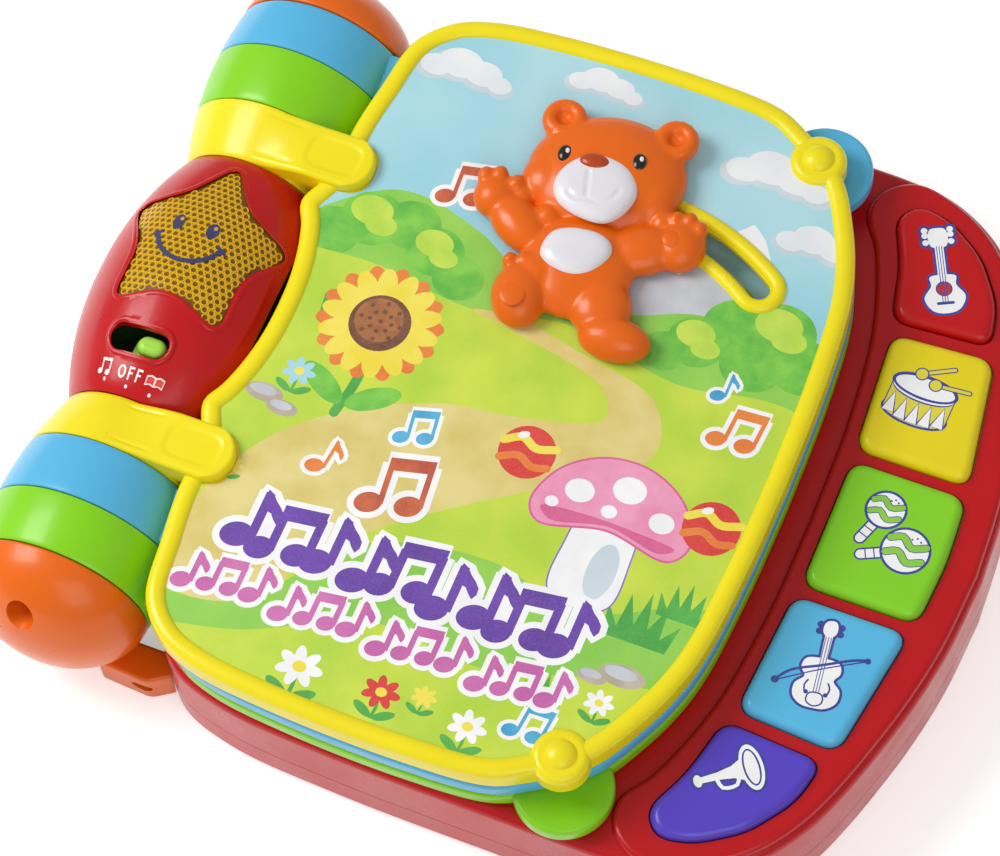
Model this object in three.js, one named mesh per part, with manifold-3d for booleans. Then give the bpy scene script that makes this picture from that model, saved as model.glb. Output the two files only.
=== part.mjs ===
// Sound book: a musical toy book with a hinged cover, two turning pages, a keyboard
// and a light-up spine. Millimetres, +Z up. It lies on its back, spine along Y on the left.
// The origin is at the middle of the underside.

import * as THREE from 'three';
import { mergeVertices } from 'three/addons/utils/BufferGeometryUtils.js';
import Module from 'manifold-3d';

const wasm = await Module();
wasm.setup();

// Fits
const GAP = 0.3;
const RUNNING_GAP = 0.4;
const SWING_GAP = 0.6;

// Spine: centre housing, three rings and a domed cap on each side
const AXIS_Z = 31.5;
const BULGE_RADIUS = 32.4;
const BULGE_POWER = 2.2;
const NECK_RADIUS = 22.8;
const RING_PEAK_RADIUS = 29.5;
const RING_PEAK_Y = 81;
const HOUSING_HALF = 43.1;
const YELLOW_END = 61;
const MIDDLE_END = 80.4;
const RINGS_END = 98.1;
const CAP_DEPTH = 21.4;
const SPINE_WALL = 2.4;
const JOURNAL_RADIUS = 20;
const JOURNAL_BORE = 16.5;
const RING_FLANGE = 2.4;
const ROUND_STEPS = 20;
const FLATNESS = 0.5;

// Past the whole book, for cuts that run right through
const FAR = 300;
const SKY = 120;

// Base
const BASE_RIGHT = 251.5;
const BASE_LEFT = 31;
const BASE_SPLIT_Z = 13;
const BED_Z = 33.4;
const PANEL_Z = 35.6;
const BASE_WALL = 2.4;
const FLOOR = 2.2;
const BASE_ROUND = 3;

// Leaves, from the bed up
const LEAF_GAP = 0.5;
const PAGE_THICK = 6.2;
const COVER_THICK = 8.8;
const LEAF_RIGHT = 191.2;
const LEAF_HALF = 118.5;
const RIM_WIDTH = 6.6;
const RIM_ROUND = 2.2;
const SHEET_THICK = 0.5;
const COVER_RECESS = 1.6;
const BACK_RECESS = 0.8;
const PAGE_BOARD = 1.6;
const TAB_X = 163;
const TAB_Y = 105.5;
const TAB_RADIUS = 14.8;
const KNOB_X = 162;
const KNOB_Y = 103;
const KNOB_RADIUS = 9;
const KNOB_BALL = 4;
const STRAP_END_X = 38.5;
const STRAP_RISE = 2;

// Bear and its slot, an arc about ARC_X, ARC_Y
const ARC_X = 121;
const ARC_Y = -1.5;
const ARC_RADIUS = 70;
const SLOT_HALF = 3.3;
const SLOT_RIM_HALF = 8.3;
const SLOT_START = -18.9;
const SLOT_END = 34.7;
const BEAR_ANGLE = -14.3;
const STEM_SPAN = 3.9;
const STEM_HALF = 2.8;
const CHANNEL_HALF = 9.5;
const BEAR_LIFT = 0.4;
const RETAINER_THICK = 2;

// Keys
const KEY_TRAVEL = 2.5;
const KEY_RISE = 3;
const KEY_ROUND = 1.6;
const KEY_CLEARANCE = 0.5;
const KEY_FLANGE = 1.6;
const KEY_FLANGE_THICK = 1.6;
const KEY_PLUNGER_RADIUS = 6;

// Mode switch
const SWITCH_X = -3.4;
const SWITCH_Y = -26.8;
const SWITCH_LENGTH = 20.7;
const SWITCH_WIDTH = 8.2;
const SWITCH_KNOB_X = 0.9;
const SWITCH_KNOB_LENGTH = 9.6;
const SWITCH_KNOB_WIDTH = 6.2;

// Star window
const STAR_Y = 9;
const STAR_RADIUS = 29;
const STAR_WAIST = 0.56;

// Finishes: colour, roughness, metalness
const YELLOW = [0xf0dc28, 0.32, 0];
const RED = [0xc8141c, 0.3, 0];
const BLUE = [0x5db5e2, 0.32, 0];
const GREEN = [0x9be02f, 0.32, 0];
const ORANGE = [0xe8751a, 0.32, 0];
const LIME = [0xa5e04a, 0.35, 0];
const WHITE = [0xede9ee, 0.4, 0];
const AMBER = [0xc9a21e, 0.15, 0];
const BROWN = [0xb5441c, 0.3, 0];
const PURPLE = [0x5a44c8, 0.3, 0];
const PRINT = [0xc7e23a, 0.45, 0];
const BOARD = [0x2f6b3a, 0.6, 0];
const BLACK = [0x202024, 0.5, 0];
const STEEL = [0xb9bcc0, 0.3, 0.9];
const RUBBER = [0xd8d8d4, 0.8, 0];

const book = new THREE.Group();
const originX = (BASE_RIGHT - BULGE_RADIUS) / 2;
book.position.set(-originX, 0, 0);

// A closed geometry as a solid, with its faces turned outwards.
function solid(geometry) {
  const bare = geometry.clone();
  bare.deleteAttribute('normal');
  bare.deleteAttribute('uv');
  const merged = mergeVertices(bare, 1e-4);
  const triVerts = Uint32Array.from(merged.index.array);
  const vertProperties = Float32Array.from(merged.attributes.position.array);
  const made = new wasm.Manifold(new wasm.Mesh({ numProp: 3, vertProperties, triVerts }));
  if (made.volume() >= 0) return made;
  for (let i = 0; i < triVerts.length; i += 3) {
    [triVerts[i], triVerts[i + 1]] = [triVerts[i + 1], triVerts[i]];
  }
  return new wasm.Manifold(new wasm.Mesh({ numProp: 3, vertProperties, triVerts }));
}

function geometryOf(shape) {
  const { vertProperties, triVerts } = shape.getMesh();
  const geometry = new THREE.BufferGeometry();
  geometry.setAttribute('position', new THREE.BufferAttribute(Float32Array.from(vertProperties), 3));
  geometry.setIndex(new THREE.BufferAttribute(Uint32Array.from(triVerts), 1));
  return geometry;
}

function addPart(name, shape, [color, roughness, metalness]) {
  const material = new THREE.MeshStandardMaterial({ color, roughness, metalness });
  const mesh = new THREE.Mesh(geometryOf(shape), material);
  mesh.name = name;
  book.add(mesh);
}

function union(...shapes) {
  return shapes.reduce((sum, next) => sum.add(next));
}

function block(x0, x1, y0, y1, z0, z1) {
  const box = new THREE.BoxGeometry(x1 - x0, y1 - y0, z1 - z0);
  box.translate((x0 + x1) / 2, (y0 + y1) / 2, (z0 + z1) / 2);
  return solid(box);
}

// Everything between two heights
function layer(z0, z1) {
  return block(-FAR, FAR, -FAR, FAR, z0, z1);
}

// An upright round bar.
function post(x, y, radius, z0, z1, steps = 14) {
  const bar = new THREE.CylinderGeometry(radius, radius, z1 - z0, steps);
  bar.rotateX(Math.PI / 2);
  bar.translate(x, y, (z0 + z1) / 2);
  return solid(bar);
}

// A round bar along Y.
function barY(x, z, radius, y0, y1, steps = 16) {
  const bar = new THREE.CylinderGeometry(radius, radius, y1 - y0, steps);
  bar.translate(x, (y0 + y1) / 2, z);
  return solid(bar);
}

function ellipsoid(x, y, z, rx, ry, rz, turn = 0) {
  const ball = new THREE.SphereGeometry(1, 10, 6);
  ball.scale(rx, ry, rz);
  ball.rotateZ(THREE.MathUtils.degToRad(turn));
  ball.translate(x, y, z);
  return solid(ball);
}

// A plan outline raised from z0 to z1, with its edges rounded by round.
function plate(outline, z0, z1, round = 0) {
  const shape = new THREE.Shape(outline);
  const raised = new THREE.ExtrudeGeometry(shape, {
    depth: z1 - z0 - 2 * round,
    bevelEnabled: round > 0,
    bevelThickness: round,
    bevelSize: round,
    bevelOffset: -round,
    bevelSegments: round > 2 ? 2 : 1,
  });
  raised.translate(0, 0, z0 + round);
  return solid(raised);
}

// A profile of [radius, y] corners turned about the spine's axis.
function turned(profile, steps = ROUND_STEPS) {
  const corners = profile.map(([radius, y]) => new THREE.Vector2(radius, y));
  const lathe = new THREE.LatheGeometry(corners, steps);
  lathe.translate(0, 0, AXIS_Z);
  return solid(lathe);
}

function mirrorY(shape) {
  return shape.mirror([0, 1, 0]);
}

function mirrorOutline(outline) {
  return outline.map((p) => new THREE.Vector2(p.x, -p.y)).reverse();
}

// Leaves out the points of a run that lie within FLATNESS of the chord past them.
function thin(run) {
  const chord = new THREE.Line3(run[0], run[run.length - 1]);
  const nearest = new THREE.Vector3();
  const offsets = run.map((p) => chord.closestPointToPoint(p, true, nearest).distanceTo(p));
  const furthest = offsets.indexOf(Math.max(...offsets));
  if (offsets[furthest] < FLATNESS) return [run[0], run[run.length - 1]];
  return [...thin(run.slice(0, furthest + 1)).slice(0, -1), ...thin(run.slice(furthest))];
}

// A smooth closed outline from the points of its upper half, mirrored about the X axis.
function smoothMirrored(half) {
  const curve = new THREE.CatmullRomCurve3(
    half.map(([x, y]) => new THREE.Vector3(x, y, 0)), false, 'centripetal');
  const upper = thin(curve.getPoints(120)).map((p) => new THREE.Vector2(p.x, Math.abs(p.y)));
  const lower = mirrorOutline(upper);
  return dropRepeats([...upper, ...lower]);
}

function dropRepeats(outline) {
  return outline.filter((p, i) => p.distanceTo(outline[(i + 1) % outline.length]) > 0.05);
}

function distanceToOutline(p, outline) {
  const nearest = new THREE.Vector3();
  const edge = new THREE.Line3();
  const at = new THREE.Vector3(p.x, p.y, 0);
  return Math.min(...outline.map((a, i) => {
    const b = outline[(i + 1) % outline.length];
    edge.start.set(a.x, a.y, 0);
    edge.end.set(b.x, b.y, 0);
    return edge.closestPointToPoint(at, true, nearest).distanceTo(at);
  }));
}

// The outline moved inwards by a distance, without the points that come too near the old one.
function inset(outline, distance) {
  const turnSign = THREE.ShapeUtils.isClockWise(outline) ? -1 : 1;
  const n = outline.length;
  const moved = outline.map((p, i) => {
    const before = outline[(i + n - 1) % n];
    const after = outline[(i + 1) % n];
    const a = p.clone().sub(before).normalize();
    const b = after.clone().sub(p).normalize();
    const along = a.add(b).normalize();
    const half = Math.max(0.5, along.dot(b));
    return new THREE.Vector2(p.x - along.y * turnSign * distance / half,
      p.y + along.x * turnSign * distance / half);
  });
  return moved.filter((p) => distanceToOutline(p, outline) > Math.abs(distance) - 0.02);
}

// A polygon with each corner rounded to a radius.
function roundedOutline(corners, radius, steps = 3) {
  const n = corners.length;
  const outline = [];
  corners.forEach(([x, y], i) => {
    const p = new THREE.Vector2(x, y);
    const before = new THREE.Vector2(...corners[(i + n - 1) % n]);
    const after = new THREE.Vector2(...corners[(i + 1) % n]);
    const reachIn = Math.min(radius, p.distanceTo(before) * 0.45);
    const reachOut = Math.min(radius, p.distanceTo(after) * 0.45);
    const start = p.clone().lerp(before, reachIn / p.distanceTo(before));
    const end = p.clone().lerp(after, reachOut / p.distanceTo(after));
    const curve = new THREE.QuadraticBezierCurve(start, p, end);
    outline.push(...curve.getPoints(steps));
  });
  return outline;
}

// The stadium outline of a slot along X.
function stadium(x, y, length, width, steps = 8) {
  const reach = (length - width) / 2;
  const shape = new THREE.Shape();
  shape.absarc(x + reach, y, width / 2, -Math.PI / 2, Math.PI / 2, false);
  shape.absarc(x - reach, y, width / 2, Math.PI / 2, 3 * Math.PI / 2, false);
  return dropRepeats(shape.getPoints(steps));
}

// Radius of the centre housing and of the rings at a distance y along the spine.
function bulgeRadius(y) {
  const share = Math.abs(y) / HOUSING_HALF;
  return BULGE_RADIUS - (BULGE_RADIUS - NECK_RADIUS) * share ** BULGE_POWER;
}

function ringRadius(y) {
  const share = (Math.abs(y) - RING_PEAK_Y) / (RING_PEAK_Y - HOUSING_HALF);
  return RING_PEAK_RADIUS - (RING_PEAK_RADIUS - NECK_RADIUS) * share ** 2;
}

function sample(from, to, count, at) {
  return Array.from({ length: count + 1 }, (_, i) => at(from + (to - from) * i / count));
}

// Heights of the leaves
const greenBottom = BED_Z + LEAF_GAP;
const greenTop = greenBottom + PAGE_THICK;
const blueBottom = greenTop + LEAF_GAP;
const blueTop = blueBottom + PAGE_THICK;
const coverBottom = blueTop + LEAF_GAP;
const coverTop = coverBottom + COVER_THICK;
const sheetTop = coverTop - COVER_RECESS;

// The left edge of a leaf runs clear of the spine as the leaf swings.
function leafLeft(y, bottom) {
  const reach = (Math.abs(y) < HOUSING_HALF ? bulgeRadius(y) : RING_PEAK_RADIUS) + SWING_GAP;
  return Math.sqrt(reach ** 2 - (bottom - AXIS_Z) ** 2);
}

function leafOutline(bottom) {
  const hollow = sample(0, HOUSING_HALF - 7, 5, (y) => [leafLeft(y, bottom), y]);
  const side = leafLeft(LEAF_HALF, bottom);
  const corner = [[side, HOUSING_HALF + 5], [side + 0.6, 0.56 * LEAF_HALF], [side + 2.4, LEAF_HALF - 38],
    [side + 6, LEAF_HALF - 18.5], [side + 15, LEAF_HALF - 8.5], [side + 27, LEAF_HALF - 3.8],
    [side + 50, LEAF_HALF - 1]];
  const edge = [[118, LEAF_HALF], [145, LEAF_HALF - 2.2], [155, LEAF_HALF - 7], [170, LEAF_HALF - 17.5],
    [180, LEAF_HALF - 34], [185.4, 0.6 * LEAF_HALF], [188.4, 0.49 * LEAF_HALF], [190.6, 0.25 * LEAF_HALF]];
  return smoothMirrored([...hollow, ...corner, ...edge, [LEAF_RIGHT, 0]]);
}

// Spine housing, in two halves, with the star window and the switch opening
function housingShell() {
  const end = HOUSING_HALF - GAP;
  const outer = sample(-end, end, 12, (y) => [bulgeRadius(y), y]);
  const inner = sample(end - SPINE_WALL, SPINE_WALL - end, 8, (y) => [bulgeRadius(y) - SPINE_WALL, y]);
  const skin = turned([[0, -end], ...outer, [0, end]]);
  return skin.subtract(turned([[0, end - SPINE_WALL], ...inner, [0, SPINE_WALL - end]]));
}

// What lies deeper than a depth under the housing's surface
function spineCore(depth) {
  const end = HOUSING_HALF - GAP - depth;
  return turned([[0, -end], ...sample(-end, end, 8, (y) => [bulgeRadius(y) - depth, y]), [0, end]]);
}

// The star in plan: its points are laid on the round housing, then seen from above.
function starOutline(shrink) {
  const corners = [];
  for (let i = 0; i < 10; i += 1) {
    const radius = (i % 2 === 0 ? STAR_RADIUS : STAR_RADIUS * STAR_WAIST) - shrink;
    const angle = Math.PI / 2 + i * Math.PI / 5;
    corners.push([radius * Math.cos(angle), STAR_Y + radius * Math.sin(angle)]);
  }
  const laid = roundedOutline(corners, STAR_RADIUS * 0.22, 4);
  const wrap = BULGE_RADIUS - 1.4;
  return laid.map((p) => new THREE.Vector2(wrap * Math.sin(p.x / wrap), p.y));
}

const shell = housingShell();
const skyward = block(-60, 60, -HOUSING_HALF, HOUSING_HALF, AXIS_Z + GAP / 2, 80);
const downward = block(-60, 60, -HOUSING_HALF, HOUSING_HALF, 0, AXIS_Z - GAP / 2);
const starCut = plate(starOutline(0), AXIS_Z + 6, 80);
const switchCut = plate(stadium(SWITCH_X, SWITCH_Y, SWITCH_LENGTH, SWITCH_WIDTH), AXIS_Z + 12, 80);
const upperHousing = shell.intersect(skyward).subtract(starCut).subtract(switchCut);
addPart('spine_housing_upper', upperHousing, RED);

const flange = block(12, BASE_LEFT - RUNNING_GAP, -34, 34, 3, AXIS_Z - 4);
const boardRibs = union(block(-20, -18, -25, 25, 4, AXIS_Z + 9), block(18, 20, -25, 25, 4, AXIS_Z + 9))
  .intersect(spineCore(1));
const lowerHousing = shell.intersect(downward).add(flange.subtract(spineCore(SPINE_WALL))).add(boardRibs);
addPart('spine_housing_lower', lowerHousing, RED);

// Star lens: a shell piece that fills the star window
function starLens() {
  const reach = HOUSING_HALF - SPINE_WALL - 1;
  const outer = sample(-reach, reach, 14, (y) => [bulgeRadius(y) - 0.5, y]);
  const inner = sample(reach, -reach, 14, (y) => [bulgeRadius(y) - SPINE_WALL, y]);
  const skin = turned([...outer, ...inner, [bulgeRadius(reach) - 0.5, -reach]]);
  return skin.intersect(plate(starOutline(GAP), AXIS_Z + 6.5, 79));
}
addPart('star_lens', starLens(), AMBER);

const lightBoardZ = AXIS_Z + 9 + GAP;
addPart('light_board', block(-20.5, 20.5, -31, 31, lightBoardZ, lightBoardZ + 1.6), BOARD);
addPart('star_led', post(0, 4, 2.5, lightBoardZ + 1.6 + GAP, lightBoardZ + 8, 16), WHITE);

// Mode switch: a slider plate with its knob, over the switch body
const switchFloor = AXIS_Z + 17;
const slider = block(SWITCH_KNOB_X - 7.5, SWITCH_KNOB_X + 7.5, SWITCH_Y - 4.4, SWITCH_Y + 4.4, switchFloor,
  switchFloor + 1.6);
const knobOutline = stadium(SWITCH_KNOB_X, SWITCH_Y, SWITCH_KNOB_LENGTH, SWITCH_KNOB_WIDTH);
const sliderKnob = plate(knobOutline, switchFloor + 1, AXIS_Z + 26.4, 1);
addPart('mode_switch_knob', slider.add(sliderKnob), LIME);
const switchBody = block(SWITCH_X - 7, SWITCH_X + 7, SWITCH_Y - 3.6, SWITCH_Y + 3.6,
  lightBoardZ + 1.6 + GAP, switchFloor - GAP);
addPart('mode_switch_body', switchBody, BLACK);

// Journals: the tubes that the rings turn on
function journal() {
  const start = HOUSING_HALF;
  const end = RINGS_END - 0.2;
  return turned([[JOURNAL_BORE, start], [JOURNAL_RADIUS, start], [JOURNAL_RADIUS, end],
    [JOURNAL_BORE, end], [JOURNAL_BORE, start]]);
}
addPart('spine_journal_upper', journal(), RED);
addPart('spine_journal_lower', mirrorY(journal()), RED);

// A hinge ring: a wall that follows the spine's curve, with a flange at each end
function ring(from, to) {
  const y0 = from + GAP / 2;
  const y1 = to - GAP / 2;
  const bore = JOURNAL_RADIUS + RUNNING_GAP;
  const wall = (y) => Math.max(bore, ringRadius(y) - SPINE_WALL);
  const outer = sample(y0, y1, 3, (y) => [ringRadius(y), y]);
  const inside = sample(y1 - RING_FLANGE, y0 + RING_FLANGE, 1, (y) => [wall(y), y]);
  return turned([[bore, y0], ...outer, [bore, y1], [bore, y1 - RING_FLANGE], ...inside,
    [bore, y0 + RING_FLANGE], [bore, y0]]);
}

const boreBar = barY(0, AXIS_Z, JOURNAL_RADIUS + RUNNING_GAP, -130, 130, ROUND_STEPS);

// The arm that ties a ring to its leaf starts inside the ring's wall.
function arm(from, to, bottom, top) {
  const slimmest = Math.min(ringRadius(from), ringRadius(to));
  const start = Math.sqrt(slimmest ** 2 - (top - AXIS_Z) ** 2) - 1;
  return block(start, leafLeft(LEAF_HALF, bottom) + 6, from + 1, to - 1, bottom, top);
}

function loopOf(from, to, side, bottom, top) {
  const upper = ring(from, to).add(arm(from, to, bottom, top).subtract(boreBar));
  return side > 0 ? upper : mirrorY(upper);
}

// Base: outline in plan, and the raised keyboard panel on it
const baseOutline = smoothMirrored([[BASE_RIGHT, 0], [249.5, 27], [243.5, 56], [231.5, 90], [219, 106.5],
  [203, 116], [188, 118.8], [140, 119.2], [94, 118.6], [60, 116], [42, 110], [33.6, 100], [BASE_LEFT, 88],
  [BASE_LEFT, 40], [bulgeRadius(16) + 1.3, 16], [BULGE_RADIUS + 0.7, 0]]);
const panelOutline = smoothMirrored([[249.8, 0], [247.8, 27], [241.8, 55.5], [230, 89], [218, 105],
  [202.5, 114.4], [189, 117], [180, 111], [178, 102], [184.6, 91], [193, 66], [197, 35], [198, 0]]);

// End caps: a domed shell with a spigot in the journal, a screw well and a foot
const WELL_X = -2.5;
const WELL_Z = AXIS_Z + 15.5;
const WELL_RADIUS = 4.5;
const capStart = RINGS_END + GAP / 2;
const wellFloor = capStart + 6;

function domeSkin(radius, depth, count) {
  const rim = sample(0, 1, count, (share) => [radius * Math.cos(share * Math.PI / 2),
    capStart + depth * Math.sin(share * Math.PI / 2)]);
  rim[count][0] = 0;
  return rim;
}

function endCap() {
  const rim = ringRadius(RINGS_END);
  const outer = domeSkin(rim, CAP_DEPTH, 5);
  const inner = domeSkin(rim - SPINE_WALL, CAP_DEPTH - SPINE_WALL, 2);
  const skin = turned([...outer.slice().reverse(), ...inner]);
  const filled = turned([[0, capStart], ...outer]);
  const spigotOuter = JOURNAL_BORE - GAP;
  const spigotInner = spigotOuter - SPINE_WALL;
  const spigotStart = RINGS_END - 6;
  const spigot = turned([[spigotInner, spigotStart], [spigotOuter, spigotStart], [spigotOuter, capStart + 20],
    [spigotInner, capStart + 20], [spigotInner, spigotStart]]);
  const boss = barY(WELL_X, WELL_Z, WELL_RADIUS + 1.8, capStart + GAP, capStart + 30);
  const inside = spigot.intersect(filled.add(barY(0, AXIS_Z, JOURNAL_RADIUS, spigotStart, capStart)))
    .add(boss.intersect(filled));
  return union(skin, inside, foot())
    .subtract(barY(WELL_X, WELL_Z, WELL_RADIUS, wellFloor, capStart + 30))
    .subtract(barY(WELL_X, WELL_Z, 2, capStart, wellFloor + 1));
}

// The foot carries the cap on the table and butts against the base's corner.
const FOOT_TOP = 12;
const FOOT_HOLE_X = 27.7;
const FOOT_HOLE_Z = 6;

function foot() {
  const corners = [[13, capStart], [37, capStart], [37, 105], [30, 109.6], [13, 108.6]];
  const slab = plate(roundedOutline(corners, 2), 0, FOOT_TOP, 1);
  const hole = new THREE.CylinderGeometry(1, 1, 12, 20);
  hole.scale(3.4, 1, 1.9);
  hole.translate(FOOT_HOLE_X, 109, FOOT_HOLE_Z);
  const baseCorner = plate(inset(baseOutline, -RUNNING_GAP), 0, 60);
  return slab.subtract(solid(hole)).subtract(baseCorner);
}

addPart('end_cap_upper', endCap(), ORANGE);
addPart('end_cap_lower', mirrorY(endCap()), ORANGE);

function capScrew() {
  const head = barY(WELL_X, WELL_Z, 3.4, wellFloor + GAP, wellFloor + 2.4);
  return head.add(barY(WELL_X, WELL_Z, 1.6, capStart + 1, wellFloor + 1));
}
addPart('cap_screw_upper', capScrew(), STEEL);
addPart('cap_screw_lower', mirrorY(capScrew()), STEEL);

// Places on the base's floor
const DOOR = { x0: 126, x1: 194, y0: -27, y1: 27 };
const BATTERY_RADIUS = 7.1;
const BATTERY_LENGTH = 50;
const BATTERY_PITCH = 15;
const SPEAKER_X = 88;
const SPEAKER_Y = -52;
const SPEAKER_RADIUS = 26;
const GRILLE_RADIUS = 18;
const GRILLE_PITCH = 7;
const BOARD_Z = 19.6;
const BOARD_THICK = 1.6;
const BASE_SCREWS = [[60, 98], [60, -98], [170, 96], [170, -96]];
const KEY_POSTS = [[222, 0], [217, 58], [217, -58], [200, 96], [200, -96]];
const BOARD_POSTS = [[56, 34], [56, 76], [112, 34], [112, 76]];
const SCREW_TIP_Z = 24;

const doorCorners = [[DOOR.x0, DOOR.y0], [DOOR.x1, DOOR.y0], [DOOR.x1, DOOR.y1], [DOOR.x0, DOOR.y1]];
const doorOutline = roundedOutline(doorCorners, 5);
const doorTop = FLOOR;
const doorScrewX = DOOR.x1 - 6;
const compartmentTop = 17.5;

// Sound slots under the speaker, shorter towards the sides
function grille() {
  const slots = [-2, -1, 0, 1, 2].map((place) => {
    const half = Math.sqrt(GRILLE_RADIUS ** 2 - (place * GRILLE_PITCH) ** 2);
    const y = SPEAKER_Y + place * GRILLE_PITCH;
    return block(SPEAKER_X - half, SPEAKER_X + half, y - 1.4, y + 1.4, -1, FLOOR + 1);
  });
  return union(...slots);
}

function lowerShell() {
  const top = BASE_SPLIT_Z - GAP / 2;
  const outer = plate(baseOutline, 0, BASE_SPLIT_Z + BASE_ROUND, BASE_ROUND)
    .subtract(layer(top, SKY));
  const inside = plate(inset(baseOutline, BASE_WALL), FLOOR, 60);
  const ledge = plate(inset(doorOutline, -2), FLOOR, FLOOR + 1.6);
  const room = plate(inset(doorOutline, 2), FLOOR - 1, 60);
  const wall = plate(inset(doorOutline, -1.8), FLOOR, compartmentTop)
    .subtract(plate(inset(doorOutline, 0), FLOOR - 1, 60));
  const boss = post(doorScrewX, 0, 4, FLOOR + GAP, 11, 12);
  const bridge = block(doorScrewX, DOOR.x1 + 1, -2, 2, FLOOR + 0.8, 11);
  const posts = [...KEY_POSTS, ...BOARD_POSTS].map(([x, y]) => post(x, y, 3, FLOOR - 0.5, BOARD_Z, 8));
  const screwPosts = BASE_SCREWS.map(([x, y]) => post(x, y, 5, FLOOR - 0.5, top, 10));
  const speakerWall = post(SPEAKER_X, SPEAKER_Y, SPEAKER_RADIUS + 2.2, FLOOR - 0.5, 9, 20)
    .subtract(post(SPEAKER_X, SPEAKER_Y, SPEAKER_RADIUS + GAP, FLOOR, 20, 20));
  const screwHoles = BASE_SCREWS.map(([x, y]) => post(x, y, 1.9, -1, 60, 8).add(post(x, y, 4, -1, 4, 10)));
  return union(outer.subtract(inside), ledge.subtract(room), wall, boss, bridge, ...posts, ...screwPosts,
    speakerWall)
    .subtract(plate(doorOutline, -1, FLOOR))
    .subtract(post(doorScrewX, 0, 1.7, -1, 10, 10))
    .subtract(union(...screwHoles))
    .subtract(grille());
}
addPart('base_lower_shell', lowerShell(), RED);

function keyOutlines() {
  const end = [[198, 69.4], [228.6, 71.4], [225.6, 85], [216, 98.6], [203.2, 107.2], [192.6, 109.2],
    [187.2, 102.4], [193.8, 88]];
  const next = [[200, 64.8], [231.2, 66.8], [237.8, 25.4], [202.8, 25.4]];
  const middle = [[203.4, 21.2], [238.8, 21.2], [240.2, 0], [238.8, -21.2], [203.4, -21.2]];
  const flip = (corners) => corners.map(([x, y]) => [x, -y]);
  return [end, next, middle, flip(next), flip(end)].map((corners) => roundedOutline(corners, 5.5));
}

const wells = keyOutlines();
const bedSheetOutline = inset(leafOutline(greenBottom), 8);

function upperShell() {
  const bottom = BASE_SPLIT_Z + GAP / 2;
  const outer = plate(baseOutline, BASE_SPLIT_Z - BASE_ROUND - 1, BED_Z, BASE_ROUND)
    .add(plate(panelOutline, BED_Z - 8, PANEL_Z, 1.8));
  const room = plate(inset(baseOutline, BASE_WALL), 0, BED_Z - BASE_WALL)
    .add(plate(inset(panelOutline, BASE_WALL + 0.6), 0, PANEL_Z - BASE_WALL));
  const bosses = BASE_SCREWS.map(([x, y]) => post(x, y, 4.6, bottom, BED_Z - 1, 10));
  const bores = BASE_SCREWS.map(([x, y]) => post(x, y, 1.8, 0, SCREW_TIP_Z + 1, 8));
  const keyHoles = wells.map((outline) => plate(inset(outline, -KEY_CLEARANCE), 20, 60));
  return union(outer.subtract(room), ...bosses)
    .subtract(union(...keyHoles, ...bores))
    .subtract(plate(bedSheetOutline, BED_Z - SHEET_THICK, BED_Z + 1))
    .subtract(layer(-1, bottom));
}
addPart('base_upper_shell', upperShell(), RED);
addPart('bed_print_sheet', plate(inset(bedSheetOutline, GAP), BED_Z - SHEET_THICK, BED_Z), PRINT);

function batteryDoor() {
  return plate(inset(doorOutline, GAP), GAP, doorTop)
    .subtract(post(doorScrewX, 0, 1.8, -1, 9, 10))
    .subtract(post(doorScrewX, 0, 3.4, -1, 1.5));
}
addPart('battery_door', batteryDoor(), RED);
addPart('battery_door_screw', post(doorScrewX, 0, 3, 0.5, 1.4).add(post(doorScrewX, 0, 1.4, 1, 9, 10)), STEEL);

[-1, 0, 1].forEach((place, i) => {
  const cell = new THREE.CylinderGeometry(BATTERY_RADIUS, BATTERY_RADIUS, BATTERY_LENGTH, 16);
  cell.rotateZ(Math.PI / 2);
  cell.translate((DOOR.x0 + doorScrewX - 4) / 2, place * BATTERY_PITCH, doorTop + GAP + BATTERY_RADIUS);
  addPart(`battery_${i + 1}`, solid(cell), BLACK);
});

BASE_SCREWS.forEach(([x, y], i) => {
  const screw = post(x, y, 3.6, 1.6, 3.7, 10).add(post(x, y, 1.5, 3, SCREW_TIP_Z, 8));
  addPart(`base_screw_${i + 1}`, screw, STEEL);
});

const speakerBody = post(SPEAKER_X, SPEAKER_Y, SPEAKER_RADIUS, FLOOR, FLOOR + 6, 20)
  .add(post(SPEAKER_X, SPEAKER_Y, 13, FLOOR + 5, FLOOR + 15, 16));
addPart('speaker', speakerBody, BLACK);
addPart('circuit_board', block(50, 118, 28, 82, BOARD_Z, BOARD_Z + BOARD_THICK), BOARD);
addPart('key_board', plate(inset(panelOutline, 6), BOARD_Z, BOARD_Z + BOARD_THICK), BOARD);

// Keys, and the rubber mat whose domes spring them back
const keyUnder = PANEL_Z - BASE_WALL - GAP;
const keyTop = PANEL_Z + KEY_RISE;
const plungerBottom = keyUnder - KEY_FLANGE_THICK - 3;
const matZ = BOARD_Z + BOARD_THICK;
const domeTop = plungerBottom - KEY_TRAVEL - GAP;
const KEY_NAMES = ['key_1_guitar', 'key_2_drum', 'key_3_maracas', 'key_4_violin', 'key_5_trumpet'];
const KEY_FINISHES = [RED, YELLOW, GREEN, BLUE, PURPLE];

function middleOf(outline) {
  const box = new THREE.Box2().setFromPoints(outline);
  return box.getCenter(new THREE.Vector2());
}

wells.forEach((outline, i) => {
  const centre = middleOf(outline);
  const cap = plate(outline, keyUnder - KEY_FLANGE_THICK - KEY_ROUND, keyTop, KEY_ROUND);
  const lip = plate(inset(outline, -KEY_FLANGE), keyUnder - KEY_FLANGE_THICK, keyUnder);
  const hollow = plate(inset(outline, 2.2), 0, keyTop - 2.4);
  const below = layer(0, keyUnder - KEY_FLANGE_THICK);
  const plunger = post(centre.x, centre.y, KEY_PLUNGER_RADIUS, plungerBottom, keyTop - 1.5);
  addPart(KEY_NAMES[i], cap.add(lip).subtract(hollow).subtract(below).add(plunger), KEY_FINISHES[i]);
});

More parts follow.
